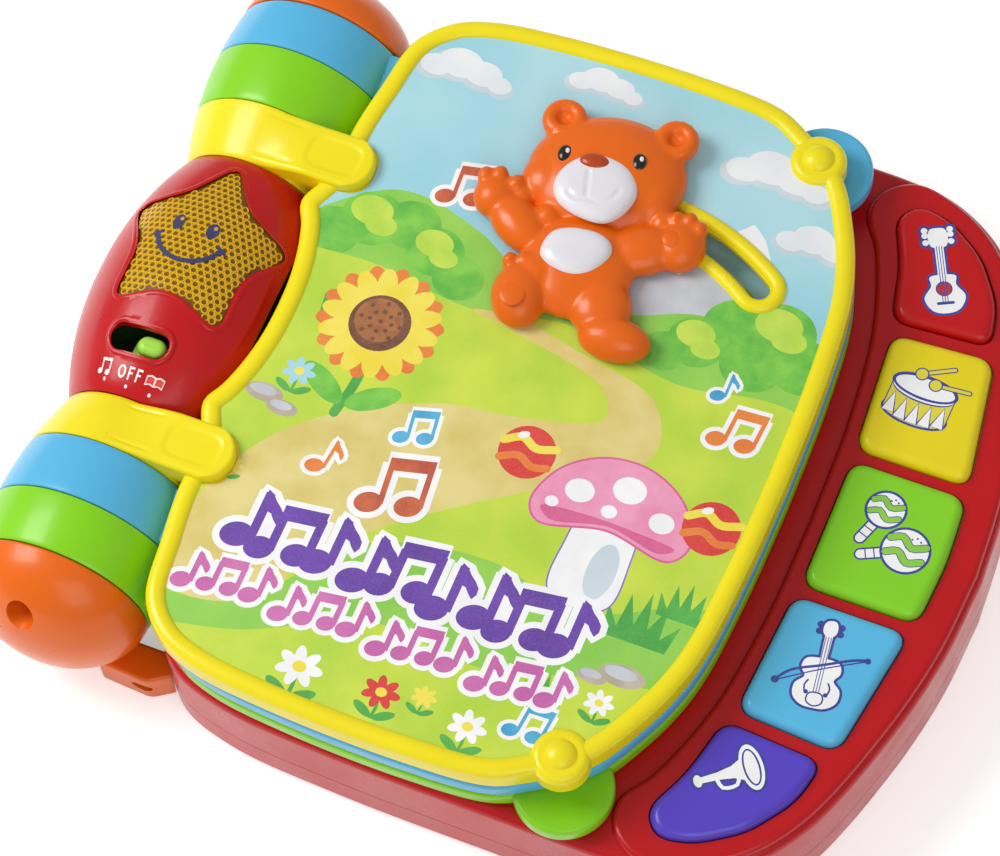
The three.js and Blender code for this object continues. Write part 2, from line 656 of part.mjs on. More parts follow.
const domes = wells.map((outline) => {
  const centre = middleOf(outline);
  const dome = new THREE.CylinderGeometry(4, 7, domeTop - matZ, 12);
  dome.rotateX(Math.PI / 2);
  dome.translate(centre.x, centre.y, (domeTop + matZ) / 2);
  return solid(dome);
});
addPart('key_contact_mat', plate(inset(panelOutline, 8), matZ, matZ + 1.2).add(union(...domes)), RUBBER);

// A band that follows the slot's arc, between two angles from the Y axis and two heights
function arcBand(startDeg, endDeg, half, z0, z1, roundEnds = true) {
  const start = Math.PI / 2 - THREE.MathUtils.degToRad(startDeg);
  const end = Math.PI / 2 - THREE.MathUtils.degToRad(endDeg);
  const shape = new THREE.Shape();
  shape.absarc(ARC_X, ARC_Y, ARC_RADIUS + half, start, end, true);
  const at = (angle) => [ARC_X + ARC_RADIUS * Math.cos(angle), ARC_Y + ARC_RADIUS * Math.sin(angle)];
  if (roundEnds) shape.absarc(...at(end), half, end, end - Math.PI, true);
  shape.absarc(ARC_X, ARC_Y, ARC_RADIUS - half, end, start, false);
  if (roundEnds) shape.absarc(...at(start), half, start + Math.PI, start, true);
  return plate(dropRepeats(shape.getPoints(6)), z0, z1);
}

const channelTop = coverTop - 4;
const channelBand = (grow) => arcBand(SLOT_START - 4, SLOT_END + 4, CHANNEL_HALF + grow, coverBottom - 1,
  channelTop);

// A strap runs level from the ring's crown to a round tab on the cover.
function strap() {
  const y0 = HOUSING_HALF + GAP / 2;
  const y1 = YELLOW_END - GAP / 2;
  const tabTop = coverTop + STRAP_RISE;
  const low = coverTop - 5.5;
  const crown = sample(y0, y1, 4, (y) => new THREE.Vector2(y, AXIS_Z + ringRadius(y)));
  const section = new THREE.Shape([new THREE.Vector2(y0, low), new THREE.Vector2(y1, low), ...crown.reverse()]);
  const run = new THREE.ExtrudeGeometry(section, { depth: 25, bevelEnabled: false });
  run.rotateX(Math.PI / 2);
  run.rotateZ(Math.PI / 2);
  const corners = [[18, y0], [STRAP_END_X, y0], [STRAP_END_X, y1], [18, y1]];
  const outline = roundedOutline(corners, 9, 5);
  const tab = plate(outline, low, tabTop, 1.2);
  const dip = plate(inset(outline, 3), tabTop - 1, tabTop + 2);
  return solid(run).add(tab).subtract(dip).subtract(boreBar);
}

function coverFrame() {
  const outline = leafOutline(coverBottom);
  const body = plate(outline, coverBottom, coverTop, RIM_ROUND);
  const knob = post(KNOB_X, KNOB_Y, KNOB_RADIUS, coverBottom + 2, coverTop, 16)
    .add(ellipsoid(KNOB_X, KNOB_Y, coverTop - 0.6, KNOB_BALL, KNOB_BALL, KNOB_BALL - 0.8));
  const slotRim = arcBand(SLOT_START, SLOT_END, SLOT_RIM_HALF, coverTop - 6, coverTop);
  const seat = sheetTop - SHEET_THICK;
  const kept = union(slotRim, knob, mirrorY(knob), strap(), mirrorY(strap()));
  const front = plate(inset(outline, RIM_WIDTH), seat, coverTop + 1);
  const back = plate(inset(outline, RIM_WIDTH), coverBottom - 1, coverBottom + BACK_RECESS);
  const loops = [1, -1].map((side) => loopOf(HOUSING_HALF, YELLOW_END, side, coverBottom, coverTop - 4.5));
  return union(body.subtract(front).subtract(back), kept, ...loops)
    .subtract(channelBand(0))
    .subtract(arcBand(SLOT_START, SLOT_END, SLOT_HALF, coverBottom - 1, coverTop + 1));
}
addPart('cover_frame', coverFrame(), YELLOW);

function coverSheet() {
  const outline = inset(leafOutline(coverBottom), RIM_WIDTH + GAP);
  const strapTab = block(0, STRAP_END_X + GAP, HOUSING_HALF - 1, YELLOW_END + 1, 0, 80);
  const knobHole = post(KNOB_X, KNOB_Y, KNOB_RADIUS + GAP, 0, 80, 20);
  return plate(outline, sheetTop - SHEET_THICK, sheetTop)
    .subtract(union(strapTab, mirrorY(strapTab), knobHole, mirrorY(knobHole)))
    .subtract(arcBand(SLOT_START, SLOT_END, SLOT_RIM_HALF + GAP, 0, 80));
}
addPart('cover_print_sheet', coverSheet(), PRINT);

const backSheet = plate(inset(leafOutline(coverBottom), RIM_WIDTH + GAP), coverBottom + BACK_RECESS - SHEET_THICK,
  coverBottom + BACK_RECESS).subtract(arcBand(SLOT_START - 4, SLOT_END + 4, CHANNEL_HALF + GAP, 0, 80));
addPart('cover_back_sheet', backSheet, PRINT);

// Pages: a frame with two rings, a thumb tab, and a printed board held in its groove
function pageFrame(bottom, upperRing, lowerRing, tabSide) {
  const outline = leafOutline(bottom);
  const top = bottom + PAGE_THICK;
  const middle = (bottom + top) / 2;
  const tab = plate(new THREE.Shape().absarc(TAB_X, tabSide * TAB_Y, TAB_RADIUS, 0, 2 * Math.PI)
    .getPoints(12).slice(1), bottom, top, RIM_ROUND - 0.6);
  const dip = post(TAB_X, tabSide * TAB_Y, TAB_RADIUS - 4, top - 1.2, top + 1, 20);
  const window = plate(inset(outline, RIM_WIDTH + 3), bottom - 1, top + 1);
  const grooveHalf = PAGE_BOARD / 2 + GAP;
  const groove = plate(inset(outline, RIM_WIDTH - 1.5), middle - grooveHalf, middle + grooveHalf);
  return union(plate(outline, bottom, top, RIM_ROUND - 0.6).add(tab).subtract(dip).subtract(window),
    loopOf(...upperRing, 1, bottom, top), loopOf(...lowerRing, -1, bottom, top)).subtract(groove);
}

function pageBoard(bottom) {
  const middle = bottom + PAGE_THICK / 2;
  return plate(inset(leafOutline(bottom), RIM_WIDTH - 1), middle - PAGE_BOARD / 2, middle + PAGE_BOARD / 2);
}

const innerRing = [YELLOW_END, MIDDLE_END];
const outerRing = [MIDDLE_END, RINGS_END];
addPart('blue_page_frame', pageFrame(blueBottom, outerRing, innerRing, 1), BLUE);
addPart('blue_page_board', pageBoard(blueBottom), PRINT);
addPart('green_page_frame', pageFrame(greenBottom, innerRing, outerRing, -1), GREEN);
addPart('green_page_board', pageBoard(greenBottom), PRINT);

// Bear: one moulding with lobes, on a stem that rides in the slot
const bearBottom = coverTop + BEAR_LIFT;
const BEAR_TURN = 20;
const BEAR_LOBES = [
  [102.8, 75, 24.2, 18.6, 9, BEAR_TURN],
  [85.8, 88.8, 6.8, 6.8, 5, 0],
  [120.9, 92.6, 6.4, 6.4, 5, 0],
  [107, 44.4, 15.5, 15, 8.4, 10],
  [85.4, 50.2, 12, 6.2, 6, 145],
  [77.2, 56.2, 6.4, 6.4, 5.8, 0],
  [126, 52.2, 12, 6, 5.8, 22],
  [135.2, 57.2, 7, 6.6, 5.8, 0],
  [94.8, 27.4, 8.4, 10.2, 7.6, 12],
  [120.8, 31.6, 8.4, 12, 7.2, 30],
  [130.2, 22.6, 10, 6.2, 7, 8],
];
const MUZZLE = [104.8, 67.2, 12.8, 10.4];
const BELLY = [107.4, 45, 11.2, 8.2];
const NOSE = [102, 74, 4.7, 3];
const muzzleFloor = bearBottom + 6.2;
const bellyFloor = bearBottom + 6;

// An inset pad: an ellipsoid's cap above its floor, and the pocket that takes it
function pad([x, y, rx, ry], floor, height, turn, grow) {
  const lobe = ellipsoid(x, y, floor, rx + grow, ry + grow, height + grow, turn);
  return lobe.intersect(layer(floor - (grow > 0 ? GAP : 0), SKY));
}

function bearBody() {
  const lobes = BEAR_LOBES.map(([x, y, rx, ry, rz, turn]) => ellipsoid(x, y, bearBottom + 1, rx, ry, rz, turn));
  const stem = arcBand(BEAR_ANGLE - STEM_SPAN, BEAR_ANGLE + STEM_SPAN, STEM_HALF,
    channelTop - GAP - RETAINER_THICK, bearBottom + 2, false);
  const above = layer(bearBottom, SKY);
  return union(...lobes).intersect(above)
    .subtract(pad(MUZZLE, muzzleFloor, 4.6, BEAR_TURN, GAP))
    .subtract(pad(BELLY, bellyFloor, 3.4, 8, GAP))
    .subtract(nosePocket)
    .add(stem);
}

const retainer = arcBand(BEAR_ANGLE - 5.6, BEAR_ANGLE + 5.6, 7.6, channelTop - GAP - RETAINER_THICK,
  channelTop - GAP, false);
const nosePocket = pad(NOSE, muzzleFloor + 2, 3.2, BEAR_TURN, GAP);
addPart('bear_body', bearBody().add(retainer), ORANGE);
addPart('bear_muzzle', pad(MUZZLE, muzzleFloor, 4.6, BEAR_TURN, 0).subtract(nosePocket), WHITE);
addPart('bear_nose', pad(NOSE, muzzleFloor + 2, 3.2, BEAR_TURN, 0), BROWN);
addPart('bear_belly', pad(BELLY, bellyFloor, 3.4, 8, 0), WHITE);

export default book;
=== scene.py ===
# Sound book: the finished look of a musical toy book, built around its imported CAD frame.
# Shapes are modelled in millimetres from the spine's axis, and put in the frame's place and metres last.

import math

import bmesh
import bpy
from mathutils import Matrix, Vector
from mathutils.geometry import delaunay_2d_cdt
from mathutils.kdtree import KDTree


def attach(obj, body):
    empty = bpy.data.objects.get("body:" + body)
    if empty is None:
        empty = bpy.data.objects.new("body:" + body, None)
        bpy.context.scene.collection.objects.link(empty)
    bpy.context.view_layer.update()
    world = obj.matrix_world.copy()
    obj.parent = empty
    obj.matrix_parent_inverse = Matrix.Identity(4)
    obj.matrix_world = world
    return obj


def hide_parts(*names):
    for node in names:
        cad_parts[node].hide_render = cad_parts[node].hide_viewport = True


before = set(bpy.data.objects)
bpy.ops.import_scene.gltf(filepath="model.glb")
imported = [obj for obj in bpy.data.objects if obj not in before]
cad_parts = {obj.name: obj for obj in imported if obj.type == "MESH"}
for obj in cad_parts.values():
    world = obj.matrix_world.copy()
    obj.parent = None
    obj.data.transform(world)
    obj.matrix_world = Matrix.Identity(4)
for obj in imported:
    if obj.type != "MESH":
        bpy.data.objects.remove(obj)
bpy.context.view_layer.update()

bl_info = {
    "name": "Sound book",
    "version": (1, 0, 0),
    "blender": (4, 5, 0),
    "location": "View3D > Sidebar > Sound book",
    "description": "Builds the finished pieces of a musical toy book around its CAD frame",
    "category": "Object",
}

# Place of the spine's axis in the frame
MM = 0.001
ORIGIN_X = 109.55
TO_FRAME = Matrix.Scale(MM, 4) @ Matrix.Translation((-ORIGIN_X, 0, 0))

# Sizes that the solids have too
GAP = 0.3
SWING_GAP = 0.6
AXIS_Z = 31.5
BULGE_RADIUS = 32.4
BULGE_POWER = 2.2
NECK_RADIUS = 22.8
RING_PEAK_RADIUS = 29.5
RING_PEAK_Y = 81
HOUSING_HALF = 43.1
YELLOW_END = 61
MIDDLE_END = 80.4
RINGS_END = 98.1
CAP_DEPTH = 21.4
WALL = 2.4
RING_BORE = 20.4
BASE_SPLIT_Z = 13
BED_Z = 33.4
PANEL_Z = 35.6
PAGE_THICK = 6.2
COVER_THICK = 8.8
LEAF_GAP = 0.5
LEAF_RIGHT = 191.2
LEAF_HALF = 118.5
RIM_WIDTH = 6.6
COVER_RECESS = 1.6
ARC_X = 121
ARC_Y = -1.5
ARC_RADIUS = 70
SLOT_HALF = 3.3
SLOT_RIM_HALF = 8.3
CHANNEL_HALF = 9.5
SLOT_START = -18.9
SLOT_END = 34.7
BEAR_ANGLE = -14.3
TAB = (163, 105.5)
TAB_RADIUS = 14.8
KNOB = (162, 103)
STRAP_END_X = 38.5
SWITCH = (-3.4, -26.8)
SWITCH_SIZE = (20.7, 8.2)
SWITCH_KNOB_X = 0.9
STAR_Y = 9
STAR_RADIUS = 29
STAR_WAIST = 16.24
STAR_GROW = 2.0
STAR_CORNER = 6.4
WELL = (-2.5, 47)
WELL_RADIUS = 4.5

GREEN_BOTTOM = BED_Z + LEAF_GAP
BLUE_BOTTOM = GREEN_BOTTOM + PAGE_THICK + LEAF_GAP
COVER_BOTTOM = BLUE_BOTTOM + PAGE_THICK + LEAF_GAP
COVER_TOP = COVER_BOTTOM + COVER_THICK
SHEET_TOP = COVER_TOP - COVER_RECESS
CHANNEL_TOP = COVER_TOP - 4
BEAR_BOTTOM = COVER_TOP + 0.4
KEY_UNDER = PANEL_Z - WALL - GAP
CAP_START = RINGS_END + GAP / 2
HOUSING_WRAP = BULGE_RADIUS - 1.4

# The camera that was fitted to the photograph: its turns in degrees, what it looks at, how far off, and its lens
CAMERA_AZIMUTH = 29.228
CAMERA_ELEVATION = 63.102
CAMERA_ROLL = -7.617
CAMERA_TARGET = (-6.53, -7.10, 40.0)
CAMERA_DISTANCE = 1.2728
CAMERA_LENS = 154.99


def linear(code):
    """A colour written as sRGB hex, as the linear values that a shader takes."""
    values = [int(code[i:i + 2], 16) / 255 for i in (1, 3, 5)]
    return tuple(v / 12.92 if v <= 0.04045 else ((v + 0.055) / 1.055) ** 2.4 for v in values)


# Curves and outlines in plan

def smooth_run(points, step=1.6):
    """A centripetal curve through open points, with a point about every step millimetres."""
    run = [Vector(p) for p in points]
    run = [run[0] * 2 - run[1], *run, run[-1] * 2 - run[-2]]
    out = []
    for a, b, c, d in zip(run, run[1:], run[2:], run[3:]):
        t1 = max((b - a).length, 1e-6) ** 0.5
        t2 = t1 + max((c - b).length, 1e-6) ** 0.5
        t3 = t2 + max((d - c).length, 1e-6) ** 0.5
        count = max(2, int((c - b).length / step))
        for i in range(count):
            t = t1 + (t2 - t1) * i / count
            ab, bc, cd = a.lerp(b, t / t1), b.lerp(c, (t - t1) / (t2 - t1)), c.lerp(d, (t - t2) / (t3 - t2))
            out.append(ab.lerp(bc, t / t2).lerp(bc.lerp(cd, (t - t1) / (t3 - t1)), (t - t1) / (t2 - t1)))
    return out + [run[-2]]


def mirrored(half):
    """A smooth closed outline from its upper half, mirrored about the X axis."""
    upper = smooth_run(half)
    lower = [Vector((p.x, -p.y)) for p in reversed(upper) if abs(p.y) > 0.05]
    return upper + lower


def closed_curve(points, step=1.2):
    """A smooth closed outline through points."""
    count = len(points)
    ring = [points[i % count] for i in range(-2, count + 3)]
    full = smooth_run(ring, step)
    start = min(range(len(full)), key=lambda i: (full[i] - Vector(points[0])).length)
    after = [i for i in range(start + count, len(full)) if (full[i] - Vector(points[0])).length < 1e-3]
    return full[start:after[0]]


def rounded(corners, radius, steps=10):
    """A polygon with its corners rounded."""
    out = []
    count = len(corners)
    for i, corner in enumerate(corners):
        p, before, after = Vector(corner), Vector(corners[i - 1]), Vector(corners[(i + 1) % count])
        into = min(radius, (p - before).length * 0.45)
        out_of = min(radius, (p - after).length * 0.45)
        start = p + (before - p).normalized() * into
        end = p + (after - p).normalized() * out_of
        for k in range(steps + 1):
            t = k / steps
            out.append(start.lerp(p, t).lerp(p.lerp(end, t), t))
    return out


def offset(outline, distance):
    """A smooth outline moved inwards, or outwards where distance is negative."""
    count = len(outline)
    area = sum(outline[i - 1].x * p.y - p.x * outline[i - 1].y for i, p in enumerate(outline))
    sign = distance if area > 0 else -distance
    moved = []
    for i, p in enumerate(outline):
        along = (outline[(i + 1) % count] - outline[i - 1]).normalized()
        moved.append(Vector((p.x - along.y * sign, p.y + along.x * sign)))
    near = KDTree(count)
    for i, p in enumerate(outline):
        near.insert((p.x, p.y, 0), i)
    near.balance()
    return [p for p in moved if near.find((p.x, p.y, 0))[2] > abs(distance) - 0.03]


def stadium(x, y, length, width, steps=16):
    """The outline of a slot along X."""
    reach, radius = (length - width) / 2, width / 2
    right = [(x + reach + radius * math.sin(a), y - radius * math.cos(a))
             for a in (math.pi * i / steps for i in range(steps + 1))]
    left = [(x - reach - radius * math.sin(a), y + radius * math.cos(a))
            for a in (math.pi * i / steps for i in range(steps + 1))]
    return [Vector(p) for p in right + left]


def disc(x, y, rx, ry=None, turn=0, steps=32):
    """The outline of a circle or a turned ellipse."""
    ry, spin = ry or rx, math.radians(turn)
    ring = [(rx * math.cos(2 * math.pi * i / steps), ry * math.sin(2 * math.pi * i / steps)) for i in range(steps)]
    return [Vector((x + u * math.cos(spin) - v * math.sin(spin), y + u * math.sin(spin) + v * math.cos(spin)))
            for u, v in ring]


def plan(*points):
    """An outline from typed points."""
    return [Vector(p) for p in points]


def on_arc(degrees, off=0):
    """A point of the bear's slot, at an angle from the Y axis."""
    angle = math.radians(degrees)
    return Vector((ARC_X + (ARC_RADIUS + off) * math.sin(angle), ARC_Y + (ARC_RADIUS + off) * math.cos(angle)))


def arc_band(start, end, half, round_ends=True, steps=40):
    """The outline of a band that follows the slot."""
    angles = [start + (end - start) * i / steps for i in range(steps + 1)]
    outer = [on_arc(a, half) for a in angles]
    inner = [on_arc(a, -half) for a in reversed(angles)]
    if not round_ends:
        return outer + inner
    out = list(outer)
    for centre, heading in ((on_arc(end), 90 - end), (on_arc(start), 270 - start)):
        cap = [math.radians(heading - 180 * i / 16) for i in range(1, 16)]
        out += [centre + Vector((math.cos(a), math.sin(a))) * half for a in cap]
        if heading == 90 - end:
            out += inner
    return out


def bulge_radius(y):
    """The radius of the round housing, from its widest place to its necks."""
    return BULGE_RADIUS - (BULGE_RADIUS - NECK_RADIUS) * (abs(y) / HOUSING_HALF) ** BULGE_POWER


def ring_radius(y):
    """The radius of the hinge rings, which swell together between the housing and the caps."""
    share = (abs(y) - RING_PEAK_Y) / (RING_PEAK_Y - HOUSING_HALF)
    return RING_PEAK_RADIUS - (RING_PEAK_RADIUS - NECK_RADIUS) * share ** 2


def leaf_left(y, bottom):
    """How near the spine's axis a leaf may start at a height, with room to turn."""
    reach = (bulge_radius(y) if abs(y) < HOUSING_HALF else RING_PEAK_RADIUS) + SWING_GAP
    return math.sqrt(reach ** 2 - (bottom - AXIS_Z) ** 2)


def leaf_outline(bottom):
    """The outline of a page or the cover, whose left edge runs clear of the spine."""
    hollow_end = HOUSING_HALF - 7
    hollow = [(leaf_left(hollow_end * i / 5, bottom), hollow_end * i / 5) for i in range(6)]
    side = leaf_left(LEAF_HALF, bottom)
    corner = [(side, HOUSING_HALF + 5), (side + 0.6, 0.56 * LEAF_HALF), (side + 2.4, LEAF_HALF - 38),
              (side + 6, LEAF_HALF - 18.5), (side + 15, LEAF_HALF - 8.5), (side + 27, LEAF_HALF - 3.8),
              (side + 50, LEAF_HALF - 1)]
    edge = [(118, LEAF_HALF), (145, LEAF_HALF - 2.2), (155, LEAF_HALF - 7), (170, LEAF_HALF - 17.5),
            (180, LEAF_HALF - 34), (185.4, 0.6 * LEAF_HALF), (188.4, 0.49 * LEAF_HALF),
            (190.6, 0.25 * LEAF_HALF), (LEAF_RIGHT, 0)]
    return mirrored(hollow + corner + edge)


def base_outline():
    """The outline of the red base."""
    return mirrored([(251.5, 0), (249.5, 27), (243.5, 56), (231.5, 90), (219, 106.5), (203, 116), (188, 118.8),
                     (140, 119.2), (94, 118.6), (60, 116), (42, 110), (33.6, 100), (31, 88), (31, 40),
                     (bulge_radius(16) + 1.3, 16), (33.1, 0)])


def panel_outline():
    """The outline of the raised keyboard panel."""
    return mirrored([(249.8, 0), (247.8, 27), (241.8, 55.5), (230, 89), (218, 105), (202.5, 114.4), (189, 117),
                     (180, 111), (178, 102), (184.6, 91), (193, 66), (197, 35), (198, 0)])


def key_outlines():
    """The five keys in plan, from the upper end of the panel to the lower."""
    end = [(198, 69.4), (228.6, 71.4), (225.6, 85), (216, 98.6), (203.2, 107.2), (192.6, 109.2), (187.2, 102.4),
           (193.8, 88)]
    beside = [(200, 64.8), (231.2, 66.8), (237.8, 25.4), (202.8, 25.4)]
    middle = [(203.4, 21.2), (238.8, 21.2), (240.2, 0), (238.8, -21.2), (203.4, -21.2)]
    below = [[(x, -y) for x, y in corners] for corners in (beside, end)]
    return [rounded(corners, 5.5) for corners in (end, beside, middle, *below)]


def star_outline(grow=0.0):
    """The star in plan, flat, before it is laid on the round housing."""
    corners = []
    for i in range(10):
        radius = (STAR_RADIUS if i % 2 == 0 else STAR_WAIST) + grow
        angle = math.pi / 2 + i * math.pi / 5
        corners.append((radius * math.cos(angle), STAR_Y + radius * math.sin(angle)))
    return rounded(corners, STAR_CORNER)


def laid(outline):
    """Points laid along the housing's curve, seen from above."""
    return [Vector((HOUSING_WRAP * math.sin(p.x / HOUSING_WRAP), p.y)) for p in outline]


# Solids

def tidy_normals(bm):
    """Joins doubled points and turns the faces outwards."""
    bmesh.ops.remove_doubles(bm, verts=bm.verts, dist=0.002)
    bmesh.ops.recalc_face_normals(bm, faces=bm.faces)
    return bm


def made_verts(made):
    """The vertices among what an operation made."""
    return [v for v in made["geom"] if isinstance(v, bmesh.types.BMVert)]


def rim_edges(bm, z):
    """The edges of a slab that lie at one height."""
    return [e for e in bm.edges if all(abs(v.co.z - z) < 1e-4 for v in e.verts)]


def slab(outline, z0, z1, top=0.0, bottom=0.0, segments=4):
    """An upright solid on an outline, with its top and bottom edges rounded."""
    bm = bmesh.new()
    face = bm.faces.new([bm.verts.new((p[0], p[1], z0)) for p in outline])
    raised = bmesh.ops.extrude_face_region(bm, geom=[face])
    bmesh.ops.translate(bm, verts=made_verts(raised), vec=(0, 0, z1 - z0))
    for z, amount in ((z1, top), (z0, bottom)):
        if amount:
            bmesh.ops.bevel(bm, geom=rim_edges(bm, z), offset=amount, segments=segments, profile=0.5,
                            affect="EDGES", material=-1, clamp_overlap=True)
    bmesh.ops.recalc_face_normals(bm, faces=bm.faces)
    return bm


def step_in(bm, steps):
    """Takes the top face inwards by each step's width and up or down by its rise."""
    top = max(bm.faces, key=lambda f: (round(f.calc_center_median().z, 3), f.calc_area()))
    for width, rise in steps:
        bmesh.ops.inset_region(bm, faces=[top], thickness=width, depth=0, use_even_offset=True)
        bmesh.ops.translate(bm, verts=top.verts, vec=(0, 0, rise))
    return bm


def bead(width, height, count=8):
    """Steps over a round bead, from its outer foot to its inner foot."""
    marks = [math.pi * i / count for i in range(count + 1)]
    return [(width / 2 * (math.cos(a) - math.cos(b)), height * (math.sin(b) - math.sin(a)))
            for a, b in zip(marks, marks[1:])]


def spun(profile, closed=False, steps=128):
    """A profile of (radius, y) points turned about the spine's axis."""
    bm = bmesh.new()
    verts = [bm.verts.new((radius, y, AXIS_Z)) for radius, y in profile]
    pairs = list(zip(verts, verts[1:])) + ([(verts[-1], verts[0])] if closed else [])
    edges = [bm.edges.new(pair) for pair in pairs]
    bmesh.ops.spin(bm, geom=verts + edges, cent=(0, 0, AXIS_Z), axis=(0, 1, 0), dvec=(0, 0, 0),
                   angle=2 * math.pi, steps=steps, use_merge=True, use_duplicate=False)
    return tidy_normals(bm)


def bar_y(x, z, radius, y0, y1, steps=48):
    """A round bar along Y."""
    bm = bmesh.new()
    bmesh.ops.create_cone(bm, cap_ends=True, segments=steps, radius1=radius, radius2=radius, depth=abs(y1 - y0))
    bmesh.ops.rotate(bm, verts=bm.verts, cent=(0, 0, 0), matrix=Matrix.Rotation(math.pi / 2, 3, "X"))
    bmesh.ops.translate(bm, verts=bm.verts, vec=(x, (y0 + y1) / 2, z))
    return bm


def ball(bm, x, y, z, rx, ry, rz, turn=0, detail=3):
    """Adds an ellipsoid, turned about Z."""
    made = bmesh.ops.create_icosphere(bm, subdivisions=detail, radius=1)
    place = (Matrix.Translation((x, y, z)) @ Matrix.Rotation(math.radians(turn), 4, "Z")
             @ Matrix.Diagonal((rx, ry, rz, 1)))
    bmesh.ops.transform(bm, matrix=place, verts=made["verts"])
    return bm


def dome(outline, centre, z0, height, roundness=4.0, grooves=(), depth=0.35):
    """A cushion on a smooth outline, with soft grooves pressed into its top."""
    bm = bmesh.new()
    run, middle = closed_curve(outline, 0.6), Vector(centre)
    marks = [Vector(q) for line in grooves for q in smooth_run(line, 0.4)]

    def vert(p, share):
        z = z0 + height * math.sqrt(max(0.0, 1 - share ** roundness))
        near = min(((p - q).length for q in marks), default=9)
        return bm.verts.new((p.x, p.y, z - depth * max(0.0, 1 - (near / 1.1) ** 2)))

    top, loops = vert(middle, 0), []
    for i in range(1, 33):
        share = math.sin(math.pi / 2 * i / 32)
        loops.append([vert(middle.lerp(p, share), share) for p in run])
    for j in range(len(run)):
        bm.faces.new((top, loops[0][j - 1], loops[0][j]))
        for a, b in zip(loops, loops[1:]):
            bm.faces.new((a[j - 1], b[j - 1], b[j], a[j]))
    bm.faces.new(loops[-1])
    bmesh.ops.recalc_face_normals(bm, faces=bm.faces)
    return bm


def flipped(bm):
    """The same solid on the other side of the XZ plane."""
    bmesh.ops.transform(bm, matrix=Matrix.Scale(-1, 4, (0, 1, 0)), verts=bm.verts)
    bmesh.ops.reverse_faces(bm, faces=bm.faces)
    return bm


def scratch_object(bm):
    """A passing object that carries a shape through modifiers."""
    mesh = bpy.data.meshes.new("scratch")
    bm.to_mesh(mesh)
    bm.free()
    obj = bpy.data.objects.new("scratch", mesh)
    bpy.context.scene.collection.objects.link(obj)
    return obj


def discard(obj):
    """Removes a scratch object and its mesh."""
    mesh = obj.data
    bpy.data.objects.remove(obj)
    bpy.data.meshes.remove(mesh)


def evaluated(obj):
    """The bmesh of an object with its modifiers applied. The object is used up."""
    bpy.context.view_layer.update()
    bm = bmesh.new()
    bm.from_mesh(obj.evaluated_get(bpy.context.evaluated_depsgraph_get()).data)
    discard(obj)
    return bm


def combine(bm, others, operation="UNION"):
    """Joins a solid with others, or cuts them out of it."""
    base = scratch_object(bm)
    tools = [scratch_object(other) for other in others]
    for tool in tools:
        step = base.modifiers.new("combine", "BOOLEAN")
        step.object, step.operation, step.solver = tool, operation, "EXACT"
    result = evaluated(base)
    for tool in tools:
        discard(tool)
    if not result.faces:
        raise RuntimeError("a solid came out empty")
    return result


def join(*solids):
    """Several separate solids in one mesh."""
    first = solids[0]
    for other in solids[1:]:
        mesh = bpy.data.meshes.new("scratch")
        other.to_mesh(mesh)
        other.free()
        first.from_mesh(mesh)
        bpy.data.meshes.remove(mesh)
    return first


def piece(name, bm, finish, body, replaces=(), flat_faces=True, sharp=40):
    """Makes a finished object of a shape, riding on its body."""
    bmesh.ops.transform(bm, matrix=TO_FRAME, verts=bm.verts)
    mesh = bpy.data.meshes.new(name)
    bm.to_mesh(mesh)
    bm.free()
    for one in finish if isinstance(finish, (list, tuple)) else [finish]:
        mesh.materials.append(bpy.data.materials[one])
    mesh.shade_smooth()
    mesh.set_sharp_from_angle(angle=math.radians(sharp))
    obj = bpy.data.objects.new(name, mesh)
    bpy.context.scene.collection.objects.link(obj)
    if flat_faces:
        weighted = obj.modifiers.new("weighted_normals", "WEIGHTED_NORMAL")
        weighted.keep_sharp = True
    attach(obj, body)
    if replaces:
        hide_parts(*replaces)
    return obj


